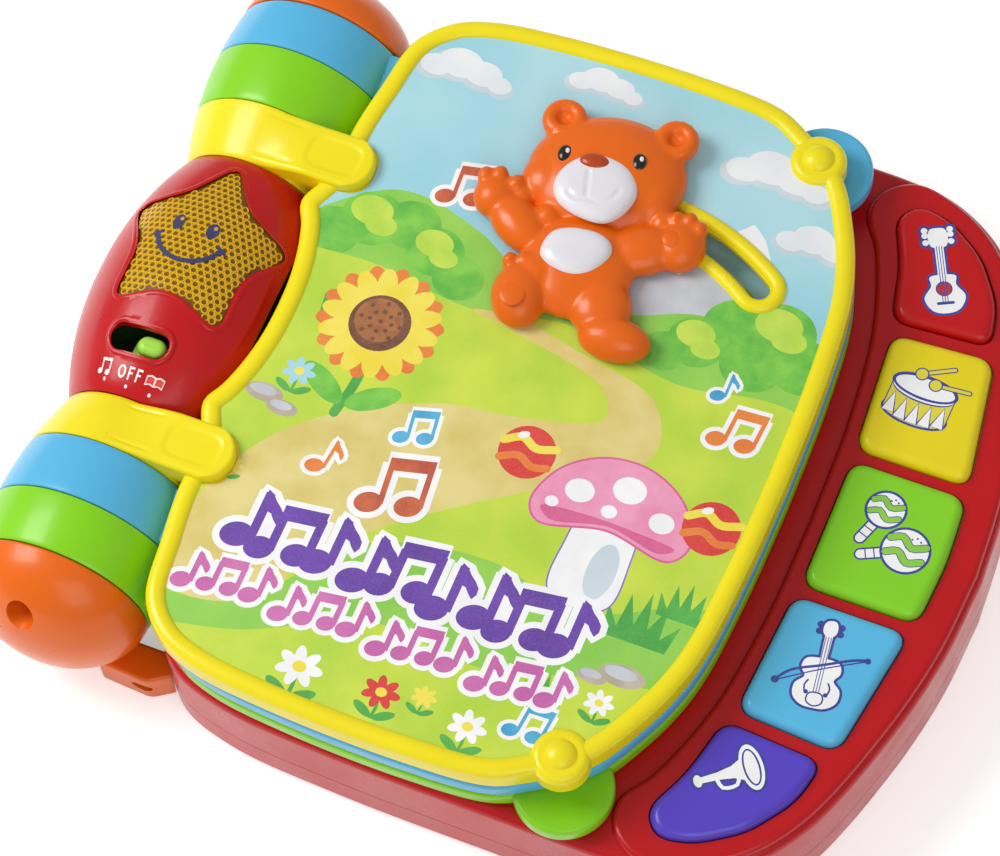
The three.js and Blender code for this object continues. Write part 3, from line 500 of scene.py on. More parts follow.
class Print:
    """A printed layer: inked outlines, each over the ones before, cut into one flat mesh of many inks.

    An outline with no ink is a hole, and bounded keeps only what lies in the first outline."""

    def __init__(self, bounded=False):
        self.outlines = []
        self.inks = []
        self.bounded = bounded
        self.move(0, 0)

    def move(self, x, y, size=1.0, turn=0.0):
        """Where the next outlines go: a place, a size and a turn in degrees."""
        self.shift = Matrix.Translation((x, y, 0)) @ Matrix.Rotation(math.radians(turn), 4, "Z")
        self.size = size
        return self

    def add(self, outline, ink):
        """One outline, over those before it."""
        points = [(self.shift @ Vector((p[0] * self.size, p[1] * self.size, 0))).to_2d() for p in outline]
        area = sum(points[i - 1].x * p.y - p.x * points[i - 1].y for i, p in enumerate(points))
        self.outlines.append(points if area > 0 else points[::-1])
        self.inks.append(ink)

    def edged(self, outlines, ink, edge_ink, width):
        """Outlines with an even edge round them all."""
        for outline in outlines:
            self.add(offset(outline, -width), edge_ink)
        for outline in outlines:
            self.add(outline, ink)

    def spots(self, places, ink):
        """Small round dots at places, each x, y and a radius."""
        for x, y, radius in places:
            self.add(disc(x, y, radius, steps=20), ink)

    def stroke(self, points, width, ink, smooth=True):
        """A line of one width through points."""
        self.add(band(points, width, smooth), ink)

    def done(self, name, body, place, thick, replaces=()):
        """Cuts the outlines into one mesh, gives it a thickness and lays it in place."""
        points, faces = [], []
        for outline in self.outlines:
            faces.append(list(range(len(points), len(points) + len(outline))))
            points += outline
        verts, _, cut, _, _, owners = delaunay_2d_cdt(points, [], faces, 1, 1e-4, True)
        used = sorted({ink for ink in self.inks if ink})
        bm = bmesh.new()
        corners = [bm.verts.new((p.x, p.y, 0)) for p in verts]
        for face, held in zip(cut, owners):
            if not held or (self.bounded and 0 not in held) or self.inks[max(held)] is None:
                continue
            bm.faces.new([corners[i] for i in face]).material_index = used.index(self.inks[max(held)])
        bmesh.ops.delete(bm, geom=[v for v in bm.verts if not v.link_faces], context="VERTS")
        top = bm.faces[:]
        under = bmesh.ops.extrude_face_region(bm, geom=top, use_keep_orig=True)
        for vert in made_verts(under):
            vert.co.z -= thick
        bmesh.ops.reverse_faces(bm, faces=[f for f in under["geom"] if isinstance(f, bmesh.types.BMFace)])
        bmesh.ops.recalc_face_normals(bm, faces=bm.faces)
        for vert in bm.verts:
            vert.co = place(vert.co)
        return piece(name, bm, used, body, replaces, flat_faces=False, sharp=30)


def band(points, width, smooth=True):
    """The outline of a line of one width with round ends."""
    run = smooth_run(points, 1.0) if smooth else [Vector(p) for p in points]
    left, right = [], []
    for i, p in enumerate(run):
        along = (run[min(i + 1, len(run) - 1)] - run[max(i - 1, 0)]).normalized()
        side = Vector((-along.y, along.x)) * width / 2
        left.append(p + side)
        right.append(p - side)
        if i in (0, len(run) - 1):
            heading = math.atan2(along.y, along.x)
            turns = [math.pi * k / 8 for k in range(1, 8)]
            if i == 0:
                start_cap = [p + Vector((math.cos(heading - math.pi / 2 - a), math.sin(heading - math.pi / 2 - a)))
                             * width / 2 for a in turns]
            else:
                end_cap = [p + Vector((math.cos(heading + math.pi / 2 - a), math.sin(heading + math.pi / 2 - a)))
                           * width / 2 for a in turns]
    return left + end_cap + right[::-1] + start_cap


def on_height(z):
    """Lays flat points at a height."""
    return lambda p: Vector((p.x, p.y, z + p.z))


def on_housing(depth=0.0):
    """Lays flat points on the round housing, at a depth under its surface."""
    def place(p):
        radius = bulge_radius(p.y) - depth + p.z
        angle = p.x / HOUSING_WRAP
        return Vector((radius * math.sin(angle), p.y, AXIS_Z + radius * math.cos(angle)))
    return place


# Finishes

def add_node(tree, kind, inputs=None, **settings):
    """Adds a node with its settings, its input values and its links."""
    node = tree.nodes.new(kind)
    for name, value in settings.items():
        setattr(node, name, value)
    for key, value in (inputs or {}).items():
        if isinstance(value, bpy.types.NodeSocket):
            tree.links.new(value, node.inputs[key])
        else:
            node.inputs[key].default_value = value
    return node


def new_finish(name):
    """A new material's node tree, its shader and the object's own coordinates."""
    material = bpy.data.materials.new(name)
    material.use_nodes = True
    tree = material.node_tree
    coords = add_node(tree, "ShaderNodeTexCoord").outputs["Object"]
    return tree, tree.nodes["Principled BSDF"], coords


def shade(colour, amount):
    """A colour made lighter or darker."""
    return tuple(min(1.0, v * amount) for v in colour[:3]) + (1.0,)


def surface(tree, shader, coords, roughness, grain, strength):
    """Uneven gloss and the faint relief of a moulded surface, grain millimetres across."""
    smudge = add_node(tree, "ShaderNodeTexNoise", {"Vector": coords, "Scale": 1 / (14 * MM), "Detail": 6.0})
    gloss = add_node(tree, "ShaderNodeMapRange", {0: smudge.outputs[0], 1: 0.3, 2: 0.7, 3: roughness - 0.05,
                                                  4: roughness + 0.07})
    peel = add_node(tree, "ShaderNodeTexNoise", {"Vector": coords, "Scale": 1 / (grain * MM), "Detail": 2.0})
    bump = add_node(tree, "ShaderNodeBump", {"Height": peel.outputs[0], "Strength": strength, "Distance": 0.0002})
    tree.links.new(gloss.outputs[0], shader.inputs["Roughness"])
    tree.links.new(bump.outputs[0], shader.inputs["Normal"])


def moulded(name, colour, roughness=0.3, coat=0.16, grain=1.6, strength=0.12, glow=0.0):
    """Injection-moulded ABS: even colour with faint flow marks, a soft gloss and a slight orange peel."""
    tree, shader, coords = new_finish(name)
    flow = add_node(tree, "ShaderNodeTexNoise", {"Vector": coords, "Scale": 1 / (40 * MM), "Detail": 4.0,
                                                 "Distortion": 0.6})
    tint = add_node(tree, "ShaderNodeMix", {0: flow.outputs[0], 6: shade(colour, 0.9), 7: shade(colour, 1.08)},
                    data_type="RGBA")
    tree.links.new(tint.outputs[2], shader.inputs["Base Color"])
    surface(tree, shader, coords, roughness, grain, strength)
    shader.inputs["Coat Weight"].default_value = coat
    shader.inputs["Coat Roughness"].default_value = 0.12
    shader.inputs["IOR"].default_value = 1.46
    shader.inputs["Specular IOR Level"].default_value = 0.38
    if glow:
        shader.inputs["Subsurface Weight"].default_value = glow
        shader.inputs["Subsurface Radius"].default_value = (0.004, 0.003, 0.001)


def printed(name, low, high, size):
    """Offset-printed paper under a clear film: two inks that fade into each other and a fine dot grain.

    A real screen has about 6 dots in a millimetre. These dots are 0.5 mm apart, coarse enough to show."""
    tree, shader, coords = new_finish(name)
    wash = add_node(tree, "ShaderNodeTexNoise", {"Vector": coords, "Scale": 1 / (size * MM), "Detail": 3.0})
    blend = add_node(tree, "ShaderNodeMapRange", {0: wash.outputs[0], 1: 0.35, 2: 0.65})
    tint = add_node(tree, "ShaderNodeMix", {0: blend.outputs[0], 6: (*low, 1), 7: (*high, 1)}, data_type="RGBA")
    dots = add_node(tree, "ShaderNodeTexVoronoi", {"Vector": coords, "Scale": 1 / (0.5 * MM)})
    fade = add_node(tree, "ShaderNodeMapRange", {0: dots.outputs[0], 1: 0.0, 2: 1.0, 3: 0.0, 4: 0.06})
    ink = add_node(tree, "ShaderNodeMix", {0: fade.outputs[0], 6: tint.outputs[2], 7: (1, 1, 1, 1)},
                   data_type="RGBA")
    tree.links.new(ink.outputs[2], shader.inputs["Base Color"])
    surface(tree, shader, coords, 0.38, 0.6, 0.05)
    shader.inputs["Coat Weight"].default_value = 0.05


def make_finishes(colours):
    """All the materials of the book, named for their finish."""
    # Glossy moulded ABS of the shells and frames: full even colour under a soft highlight with a broken edge
    for name in ("red", "yellow", "blue", "green", "orange", "white"):
        moulded(f"{name}_abs", getattr(colours, name))
    # Moulded polypropylene: the switch's knob has a waxier, wider highlight than the ABS round it
    moulded("lime_pp", colours.lime, 0.36)
    # ABS of the keys: the shells' gloss, in colours a little brighter or deeper than the frames'
    moulded("key_red_abs", linear("#C80C10"))
    moulded("key_yellow_abs", linear("#F0DC1C"))
    moulded("key_green_abs", linear("#8AD828"))
    moulded("key_blue_abs", linear("#5CBEEA"))
    moulded("key_purple_abs", colours.purple)
    # Brown ABS, smoother than the skin: one small bright highlight on the nose
    moulded("nose_brown_abs", linear("#B5441C"), 0.26)
    # Polished black ABS under a strong coat: eyes that look wet
    moulded("eye_black_abs", linear("#15130F"), 0.18, 0.6)
    # Textured black ABS: the dull dark bodies of the switch, the speaker and the cells
    moulded("black_abs", linear("#1C1C20"), 0.45)
    # Silicone rubber: pale and matt, with a fine even grain
    moulded("grey_rubber", linear("#D0D0CC"), 0.75, 0.0, 0.5, 0.3)
    # Clear polystyrene tinted amber: a dark, slightly glowing depth between the cells
    moulded("amber_styrene", linear("#7A5606"), 0.2, 0.3, 2.2, 0.2, 0.1)
    # The raised rims of its cells: the same plastic, coloured much lighter as a painted highlight where it gathers
    # light
    moulded("cell_rim_styrene", linear("#E3B41A"), 0.24, 0.3, 1.2, 0.1, 0.2)
    # Epoxy lens of the lamp: milky, smooth and pale
    moulded("lamp_lens", linear("#F2EBD2"), 0.15, 0.5)
    # Lacquered glass-fibre laminate: flat dark green with a fine, slightly uneven sheen
    moulded("board_laminate", linear("#2F6B3A"), 0.5, 0.2, 0.5, 0.2)
    # Offset inks on filmed paper: flatter and less glossy than the plastic round them, with a soft wash of colour
    for name, low, high, size in PRINT_INKS:
        printed(name, linear(low), linear(high), size)
    # Zinc-plated steel of the screws: bright grey metal, clouded from spot to spot as a thin plating is
    tree, shader, coords = new_finish("zinc_plated_steel")
    shader.inputs["Metallic"].default_value = 1.0
    brushed = add_node(tree, "ShaderNodeTexNoise", {"Vector": coords, "Scale": 1 / (0.8 * MM), "Detail": 4.0})
    steel = add_node(tree, "ShaderNodeMix", {0: brushed.outputs[0], 6: (*linear("#9A9DA2"), 1),
                                             7: (*linear("#D5D7DA"), 1)}, data_type="RGBA")
    tree.links.new(steel.outputs[2], shader.inputs["Base Color"])
    surface(tree, shader, coords, 0.34, 0.4, 0.1)


# Each ink's name, its two colours and the size in millimetres of the wash between them
PRINT_INKS = [
    ("sky_ink", "#92D2E2", "#B2E0EA", 60), ("cloud_ink", "#E4EAEE", "#F4F6F7", 20),
    ("cloud_shade_ink", "#C6D6E0", "#D6E2E8", 20), ("rock_ink", "#B9BFC6", "#CBD0D5", 12),
    ("snow_ink", "#EDEEF0", "#F8F8F8", 12), ("bush_ink", "#58B832", "#84D240", 9),
    ("bush_light_ink", "#B4DC3C", "#CBE64C", 8), ("bush_dark_ink", "#3FA63A", "#55B645", 10),
    ("meadow_ink", "#B4D82A", "#D2E43C", 26), ("far_meadow_ink", "#84CC40", "#9AD64A", 26),
    ("path_ink", "#DCC86A", "#E8D888", 14), ("plum_ink", "#5E2E9C", "#6D3CB0", 20),
    ("orchid_ink", "#C75DA8", "#D673B6", 20), ("white_ink", "#F6F6F6", "#FFFFFF", 10),
    ("navy_ink", "#141A4A", "#1D2560", 10), ("gold_ink", "#C08A20", "#D8A030", 6),
    ("red_ink", "#D92A24", "#E23C30", 10), ("orange_ink", "#E9781F", "#F08A2C", 10),
    ("yellow_ink", "#F4DE2E", "#F9E858", 10),
    ("pink_ink", "#F08CB4", "#F5A3C4", 10), ("stone_ink", "#B5A892", "#C8BCA8", 8),
    ("violet_ink", "#8A66C8", "#9C7AD4", 10), ("rose_ink", "#D9588E", "#E26A9C", 10),
    ("nut_ink", "#6B3A1C", "#7C4726", 6), ("seed_ink", "#9A5A26", "#B06C30", 5),
    ("brick_ink", "#B8452A", "#D86A34", 12), ("water_ink", "#2F9FD0", "#56B8E0", 10),
    ("icon_ink", "#1E2A8C", "#2B3AA0", 10), ("key_red_ink", "#C01018", "#CE1016", 10),
    ("key_yellow_ink", "#E4D82C", "#E9DC30", 10), ("key_green_ink", "#7FC62E", "#8FD62E", 10),
    ("board_ink", "#9CC846", "#B2D65A", 60), ("bed_ink", "#A6DB58", "#C9E66A", 30),
    ("back_ink", "#F2E27C", "#F5E892", 70),
]


# Spine

def housing_core(depth, steps=128):
    """The solid under a depth of the housing's surface."""
    end = HOUSING_HALF - GAP - depth
    marks = [-end + 2 * end * i / 48 for i in range(49)]
    edge = 0.5 if depth == 0 else 0.0
    profile = [(0, -end)] + [(bulge_radius(y) - depth - (edge if abs(y) > end - 0.01 else 0), y) for y in marks]
    return spun(profile + [(0, end)], steps=steps)


def lip(outline, width, height, place, sides=10):
    """A soft round bead laid along an outline."""
    bm = bmesh.new()
    count = len(outline)
    rings = []
    for i, p in enumerate(outline):
        along = (outline[(i + 1) % count] - outline[i - 1]).normalized()
        side = Vector((-along.y, along.x))
        ring = []
        for k in range(sides):
            a = 2 * math.pi * k / sides
            q = p + side * math.cos(a) * width
            ring.append(bm.verts.new(place(Vector((q.x, q.y, math.sin(a) * height)))))
        rings.append(ring)
    loops = [[bm.edges.new((a, b)) for a, b in zip(ring, ring[1:] + ring[:1])] for ring in rings]
    for i, loop in enumerate(loops):
        bmesh.ops.bridge_loops(bm, edges=loop + loops[(i + 1) % count])
    bmesh.ops.recalc_face_normals(bm, faces=bm.faces)
    return bm


def build_housing():
    """The red round middle of the spine, with lips round its star window and its switch."""
    flat_star = star_outline(STAR_GROW + 0.3)
    flat_switch = stadium(*SWITCH, SWITCH_SIZE[0] + 0.2, SWITCH_SIZE[1] + 0.2)
    cuts = [slab(laid(flat_star), AXIS_Z + 6, 80), slab(laid(flat_switch), AXIS_Z + 12, 80)]
    whole = combine(housing_core(0), [housing_core(WALL, 64)] + cuts, "DIFFERENCE")
    lips = [lip(offset(flat_star, -0.7), 0.9, 0.35, on_housing(0.1)),
            lip(offset(flat_switch, -0.9), 1.0, 0.7, on_housing(0.1))]
    halves = {}
    for name, sign in (("upper", 1), ("lower", -1)):
        half = whole.copy()
        plane = AXIS_Z + sign * GAP / 2
        geometry = half.verts[:] + half.edges[:] + half.faces[:]
        bmesh.ops.bisect_plane(half, geom=geometry, plane_co=(0, 0, plane), plane_no=(0, 0, sign),
                               clear_inner=True, dist=0.001)
        bmesh.ops.holes_fill(half, edges=[e for e in half.edges if e.is_boundary], sides=0)
        halves[name] = half
    whole.free()
    upper = combine(halves["upper"], lips)
    piece("housing_top", upper, "red_abs", "base", ["spine_housing_upper"], flat_faces=False)
    flange = slab(plan((12, -34), (30.6, -34), (30.6, 34), (12, 34)), 3, AXIS_Z - 4)
    lower = combine(halves["lower"], [combine(flange, [housing_core(WALL, 64)], "DIFFERENCE")])
    below = slab(plan((-40, -50), (40, -50), (40, 50), (-40, 50)), -5, 0.02)
    lower = combine(lower, [below], "DIFFERENCE")
    piece("housing_bottom", lower, "red_abs", "base", ["spine_housing_lower"], flat_faces=False)


def build_star(sizes):
    """The amber star window: a clear lens with a honeycomb of raised cells, and its printed face."""
    depth = 0.9
    lens = combine(housing_core(depth), [slab(laid(star_outline(STAR_GROW)), AXIS_Z + 8, 80)], "INTERSECT")
    lens = combine(lens, [housing_core(depth + 1.6, 64)], "DIFFERENCE")
    piece("star_window", lens, "amber_styrene", "base", ["star_lens"], flat_faces=False)
    edge = [(p.x, p.y) for p in offset(star_outline(STAR_GROW), 1.0)]
    pitch = sizes.cell_pitch / MM
    rims = bmesh.new()
    for row in range(-20, 21):
        y = STAR_Y + row * pitch * 0.866
        for column in range(-18, 19):
            x = (column + (row % 2) / 2) * pitch
            if inside(x, y, edge):
                rims = join(rims, lip(disc(x, y, pitch * 0.45, steps=10), pitch * 0.13, 0.4, on_housing(depth), 6))
    # The cells' rims take the lighter colour of a painted highlight
    piece("star_cells", rims, "cell_rim_styrene", "base", flat_faces=False)
    face = Print()
    face.move(-2.2, STAR_Y)
    for side in (-1, 1):
        face.add(disc(side * 5.6, 4.2, 1.9, 2.8, side * -6), "navy_ink")
        face.add(disc(side * 5.6 + 0.5, 5.4, 0.6, 0.7), "gold_ink")
    face.stroke([(-10.6, -0.8), (-7, -5.8), (0, -8.4), (7, -5.8), (10.6, -0.8)], 1.5, "navy_ink")
    face.stroke([(-11.6, -1.4), (-9.4, -0.2)], 1.1, "navy_ink", False)
    face.stroke([(9.4, -0.2), (11.6, -1.4)], 1.1, "navy_ink", False)
    face.done("star_face", "base", on_housing(depth - 0.45), 0.3)


def inside(x, y, outline):
    """Whether a point lies in an outline."""
    hit = False
    for (x0, y0), (x1, y1) in zip(outline, outline[1:] + outline[:1]):
        if (y0 > y) != (y1 > y) and x < (x1 - x0) * (y - y0) / (y1 - y0) + x0:
            hit = not hit
    return hit


def build_switch():
    """The lime knob of the mode switch on its dark slider, and the white marks beside its slot."""
    floor = AXIS_Z + 17
    x, y = SWITCH_KNOB_X, SWITCH[1]
    corners = [(x - 7.5, y - 4.4), (x + 7.5, y - 4.4), (x + 7.5, y + 4.4), (x - 7.5, y + 4.4)]
    plate = slab(rounded(corners, 1), floor, floor + 1.6, 0.3)
    knob = slab(stadium(x, y, 9.0, 6.2), floor + 1, AXIS_Z + 28, 2.2, segments=6)
    piece("switch_knob", combine(plate, [knob]), "lime_pp", "mode_switch", ["mode_switch_knob"])
    marks = Print()
    marks.move(-12.4, SWITCH[1] - 9.4, 1.05, -4)
    for dx in (-1.6, 1.6):
        marks.add(disc(dx - 0.7, -1.4, 1.0, 0.75, 20), "white_ink")
        marks.stroke([(dx, -1.3), (dx, 1.9)], 0.45, "white_ink", False)
    marks.stroke([(-1.6, 1.9), (1.6, 2.1)], 0.8, "white_ink", False)
    marks.move(-2.6, SWITCH[1] - 9.8, 1.12)
    marks.add(disc(-2.6, 0, 1.35, 1.7), "white_ink")
    marks.add(disc(-2.6, 0, 0.8, 1.15), "red_ink")
    for dx in (0, 2.8):
        marks.add([(dx - 0.3, -1.7), (dx + 0.25, -1.7), (dx + 0.25, -0.2), (dx + 1.2, -0.2), (dx + 1.2, 0.3),
                   (dx + 0.25, 0.3), (dx + 0.25, 1.15), (dx + 1.5, 1.15), (dx + 1.5, 1.7), (dx - 0.3, 1.7)],
                  "white_ink")
    marks.move(7.4, SWITCH[1] - 10, 1.15, 4)
    for side in (-1, 1):
        leaf = [(0, -1.1), (side * 1.4, -0.7), (side * 2.9, -1.1), (side * 2.9, 1.3), (side * 1.4, 1.7), (0, 1.3)]
        marks.add(leaf, "white_ink")
        marks.add([(x * 0.84 + side * 0.22, y * 0.74 + 0.05) for x, y in leaf], "red_ink")
    for x, y in ((-12.2, -12.8), (-2.4, -13.6), (7.4, -13.6)):
        marks.move(x, SWITCH[1] + y)
        marks.spots([(0, 0, 0.55)], "white_ink")
    marks.done("switch_marks", "base", on_housing(-0.03), 0.05)


def ring_solid(start, end):
    """One hinge ring with slightly rounded rims."""
    y0, y1 = start + GAP / 2, end - GAP / 2
    marks = [y0 + (y1 - y0) * i / 14 for i in range(15)]
    outer = [(ring_radius(y) - (0.45 if y in (y0, y1) else 0), y) for y in marks]
    outer[1:1] = [(ring_radius(y0) - 0.1, y0 + 0.3)]
    outer[-1:-1] = [(ring_radius(y1) - 0.1, y1 - 0.3)]
    return spun([(RING_BORE, y0)] + outer + [(RING_BORE, y1)], closed=True)


def arm_solid(start, end, bottom, top):
    """The arm that ties a ring to its leaf, clear of the tube that the ring turns on."""
    slim = min(ring_radius(start), ring_radius(end))
    x0 = math.sqrt(slim ** 2 - (top - AXIS_Z) ** 2) - 1
    x1 = leaf_left(LEAF_HALF, bottom) + 6
    corners = [(x0, start + 1), (x1, start + 1), (x1, end - 1), (x0, end - 1)]
    block = slab(corners, bottom, top, 0.8)
    return combine(block, [bar_y(0, AXIS_Z, RING_BORE + 0.02, start - 5, end + 5, 96)], "DIFFERENCE")


def build_caps():
    """The orange domed caps at the spine's ends, each with its screw well and its foot."""
    rim = ring_radius(RINGS_END)
    arc = [(rim * math.cos(a), CAP_START + CAP_DEPTH * math.sin(a))
           for a in (math.pi / 2 * i / 36 for i in range(37))]
    arc[-1] = (0, CAP_START + CAP_DEPTH)
    arc[0:1] = [(rim - 0.5, CAP_START), (rim, CAP_START + 0.5)]
    corners = [(13, CAP_START + 0.01), (37, CAP_START + 0.01), (37, 105), (30, 109.6), (13, 108.6)]
    for name, turn in (("upper", lambda bm: bm), ("lower", flipped)):
        dome = spun([(0, CAP_START)] + arc)
        spigot = bar_y(0, AXIS_Z, 16.2, RINGS_END - 6, CAP_START + 4)
        foot = slab(rounded(corners, 2), 0, 12, 1.2, 0.5)
        hole = bar_y(0, 0, 1, 96, 125)
        bmesh.ops.scale(hole, vec=(3.4, 1, 1.9), verts=hole.verts)
        bmesh.ops.translate(hole, vec=(27.7, 0, 6), verts=hole.verts)
        base_room = slab(offset(base_outline(), -0.4), -1, 60)
        foot = combine(foot, [hole, base_room], "DIFFERENCE")
        cap = combine(dome, [spigot, foot])
        well = bar_y(*WELL, WELL_RADIUS, CAP_START + 6, CAP_START + 40)
        bore = bar_y(*WELL, 2, CAP_START - 8, CAP_START + 8)
        cap = combine(cap, [well, bore], "DIFFERENCE")
        piece(f"cap_{name}", turn(cap), "orange_abs", "base", [f"end_cap_{name}"], sharp=50)


# Leaves

def strap_solid():
    """The strap that runs level from a ring's crown to a round tab on the cover."""
    y0, y1 = HOUSING_HALF + GAP / 2, YELLOW_END - GAP / 2
    middle, half = (y0 + y1) / 2, (y1 - y0) / 2
    tab_top, low, radius = COVER_TOP + 2, COVER_TOP - 5.4, 8.7
    edge_round, pad_depth, groove_depth = 1.4, 0.35, 0.35
    bm = bmesh.new()
    bmesh.ops.create_grid(bm, x_segments=72, y_segments=40, size=1)
    for vert in bm.verts:
        u, v = (vert.co.x + 1) / 2, vert.co.y
        v = math.sin(v * math.pi / 2)
        over = max(0.0, abs(v) * half - (half - radius))
        end = STRAP_END_X - (radius - math.sqrt(max(0.0, radius ** 2 - over ** 2)))
        x, y = (1 - (1 - u) ** 1.3) * end, middle + v * half
        crown = AXIS_Z + ring_radius(y)
        ease = min(1.0, max(0.0, x / 20))
        z = crown + (tab_top - crown) * ease * ease * (3 - 2 * ease)
        side = half - abs(y - middle)
        edge = min(side, end - x)
        if edge < edge_round:
            z -= edge_round - math.sqrt(max(0.0, edge_round ** 2 - (edge_round - edge) ** 2))
        cx, cy = 25.5, middle
        dx, dy = abs(x - cx), abs(y - cy)
        soft = (dx / 8.8) ** 4 + (dy / 5.6) ** 4
        dip = min(1.0, max(0.0, (1.08 - soft) / 0.5))
        z -= pad_depth * dip * dip * (3 - 2 * dip)
        groove = min(1.0, max(0.0, 1 - abs(side - 2.6) / 0.7)) * min(1.0, max(0.0, (15 - x) / 3))
        z -= groove_depth * groove
        vert.co = Vector((x, y, z))
    bottom = bmesh.ops.extrude_face_region(bm, geom=bm.faces[:])
    for vert in made_verts(bottom):
        vert.co.z = low
    tidy_normals(bm)
    return combine(bm, [bar_y(0, AXIS_Z, RING_BORE + 0.02, 30, 70, 96)], "DIFFERENCE")


def build_cover(sizes):
    """The yellow front cover: a rounded rim round the picture, the bear's slot, straps and knobs."""
    outline = leaf_outline(COVER_BOTTOM)
    rim = sizes.rim_height / MM
    body = slab(outline, COVER_BOTTOM, COVER_TOP - rim, 0, 1.2)
    step_in(body, bead(RIM_WIDTH - 0.6, rim) + [(0.25, -COVER_RECESS - 0.5 + rim)])
    back = slab(offset(outline, RIM_WIDTH), COVER_BOTTOM - 1, COVER_BOTTOM + 0.8)
    slot_rim = slab(arc_band(SLOT_START, SLOT_END, SLOT_RIM_HALF), COVER_TOP - 5.8, COVER_TOP - 2.2)
    step_in(slot_rim, [(0.02, 0)] + bead(SLOT_RIM_HALF - SLOT_HALF - 0.2, 2.2) + [(0.05, -1.2)])
    extras = [slot_rim]
    for degrees in (21, 24, 27, 30):
        at = on_arc(degrees, -(SLOT_HALF + 2.4))
        extras.append(ball(bmesh.new(), at.x, at.y, COVER_TOP - 0.65, 0.9, 0.9, 0.8, detail=2))
    for turn in (lambda bm: bm, flipped):
        post = slab(disc(*KNOB, 8.6, steps=64), COVER_BOTTOM + 1.99, COVER_TOP + 0.2, 2.6, segments=8)
        bump = ball(bmesh.new(), *KNOB, COVER_TOP - 0.9, 5, 5, 3.4, detail=4)
        extras += [turn(post), turn(bump), turn(strap_solid()), turn(ring_solid(HOUSING_HALF, YELLOW_END)),
                   turn(arm_solid(HOUSING_HALF, YELLOW_END, COVER_BOTTOM, COVER_TOP - 4.5))]
    shape = combine(body, extras)
    cuts = [back, slab(arc_band(SLOT_START - 4, SLOT_END + 4, CHANNEL_HALF), COVER_BOTTOM - 1, CHANNEL_TOP),
            slab(arc_band(SLOT_START, SLOT_END, SLOT_HALF), COVER_BOTTOM - 1.01, COVER_TOP + 1.01)]
    piece("cover_moulding", combine(shape, cuts, "DIFFERENCE"), "yellow_abs", "cover", ["cover_frame"])


def build_pages():
    """The two thick pages: each a rounded frame with a thumb tab, two rings and a printed board."""
    middle, outer = (YELLOW_END, MIDDLE_END), (MIDDLE_END, RINGS_END)
    for name, bottom, upper, lower, side in (("blue", BLUE_BOTTOM, outer, middle, 1),
                                             ("green", GREEN_BOTTOM, middle, outer, -1)):
        outline, top = leaf_outline(bottom), bottom + PAGE_THICK
        body = slab(outline, bottom, top, 1.6, 1.6)
        tab = slab(disc(TAB[0], side * TAB[1], TAB_RADIUS, steps=96), bottom + 0.01, top - 0.01, 1.6, 1.6)
        window = slab(offset(outline, RIM_WIDTH + 3), bottom - 1, top + 1)
        middle_z, board_room = (bottom + top) / 2, 1.1
        groove = slab(offset(outline, RIM_WIDTH - 1.5), middle_z - board_room, middle_z + board_room)
        rings = [ring_solid(*upper), arm_solid(*upper, bottom, top),
                 flipped(ring_solid(*lower)), flipped(arm_solid(*lower, bottom, top))]
        shape = combine(combine(body, [tab] + rings), [window, groove], "DIFFERENCE")
        piece(f"{name}_page", shape, f"{name}_abs", "base", [f"{name}_page_frame"])


# Base

def build_base():
    """The red base in two shells, with the raised keyboard panel and its five wells."""
    outline, panel = base_outline(), panel_outline()
    bottom = BASE_SPLIT_Z + GAP / 2
    upper = slab(outline, bottom, BED_Z, 3, 0, 6)
    upper = combine(upper, [slab(panel, BED_Z - 6, PANEL_Z, 2, 0, 5)])
    wells = [slab(offset(key, -0.5), 20, 60) for key in key_outlines()]
    room = [slab(offset(outline, WALL), 0, BED_Z - WALL), slab(offset(panel, WALL + 0.6), 0.01, PANEL_Z - WALL)]
    bed = slab(offset(leaf_outline(GREEN_BOTTOM), 8), BED_Z - 0.5, BED_Z + 1)
    upper = combine(upper, room + [bed] + wells, "DIFFERENCE")
    piece("base_top", upper, "red_abs", "base", ["base_upper_shell"])

    split = BASE_SPLIT_Z - GAP / 2
    lower = combine(slab(outline, 0, split, 0, 3, 6), [slab(offset(outline, WALL), 2.2, 60)], "DIFFERENCE")
    door = rounded([(126, -27), (194, -27), (194, 27), (126, 27)], 5)
    ledge = combine(slab(offset(door, -2), 2.0, 3.8), [slab(offset(door, 2), 0, 60)], "DIFFERENCE")
    wall = combine(slab(offset(door, -1.8), 2.01, 17.5), [slab(door, 1, 60)], "DIFFERENCE")
    screws = [(60, 98), (60, -98), (170, 96), (170, -96)]
    posts = [slab(disc(x, y, 5), 1.7, split) for x, y in screws]
    lower = combine(lower, [ledge, wall] + posts)
    cuts = [slab(door, -1, 2.2), *(slab(disc(x, y, 1.9, steps=24), -1, 60) for x, y in screws),
            *(slab(disc(x, y, 4, steps=32), -1.01, 4) for x, y in screws)]
    for place in (-2, -1, 0, 1, 2):
        half = math.sqrt(18 ** 2 - (place * 7) ** 2)
        cuts.append(slab(stadium(88, -52 + place * 7, 2 * half, 2.8), -1, 3.2))
    piece("base_bottom", combine(lower, cuts, "DIFFERENCE"), "red_abs", "base", ["base_lower_shell"])


KEYS = [("1_guitar", "key_red_abs", "key_red"), ("2_drum", "key_yellow_abs", "key_yellow"),
        ("3_maracas", "key_green_abs", "key_green"), ("4_violin", "key_blue_abs", "key_blue"),
        ("5_trumpet", "key_purple_abs", "key_purple")]


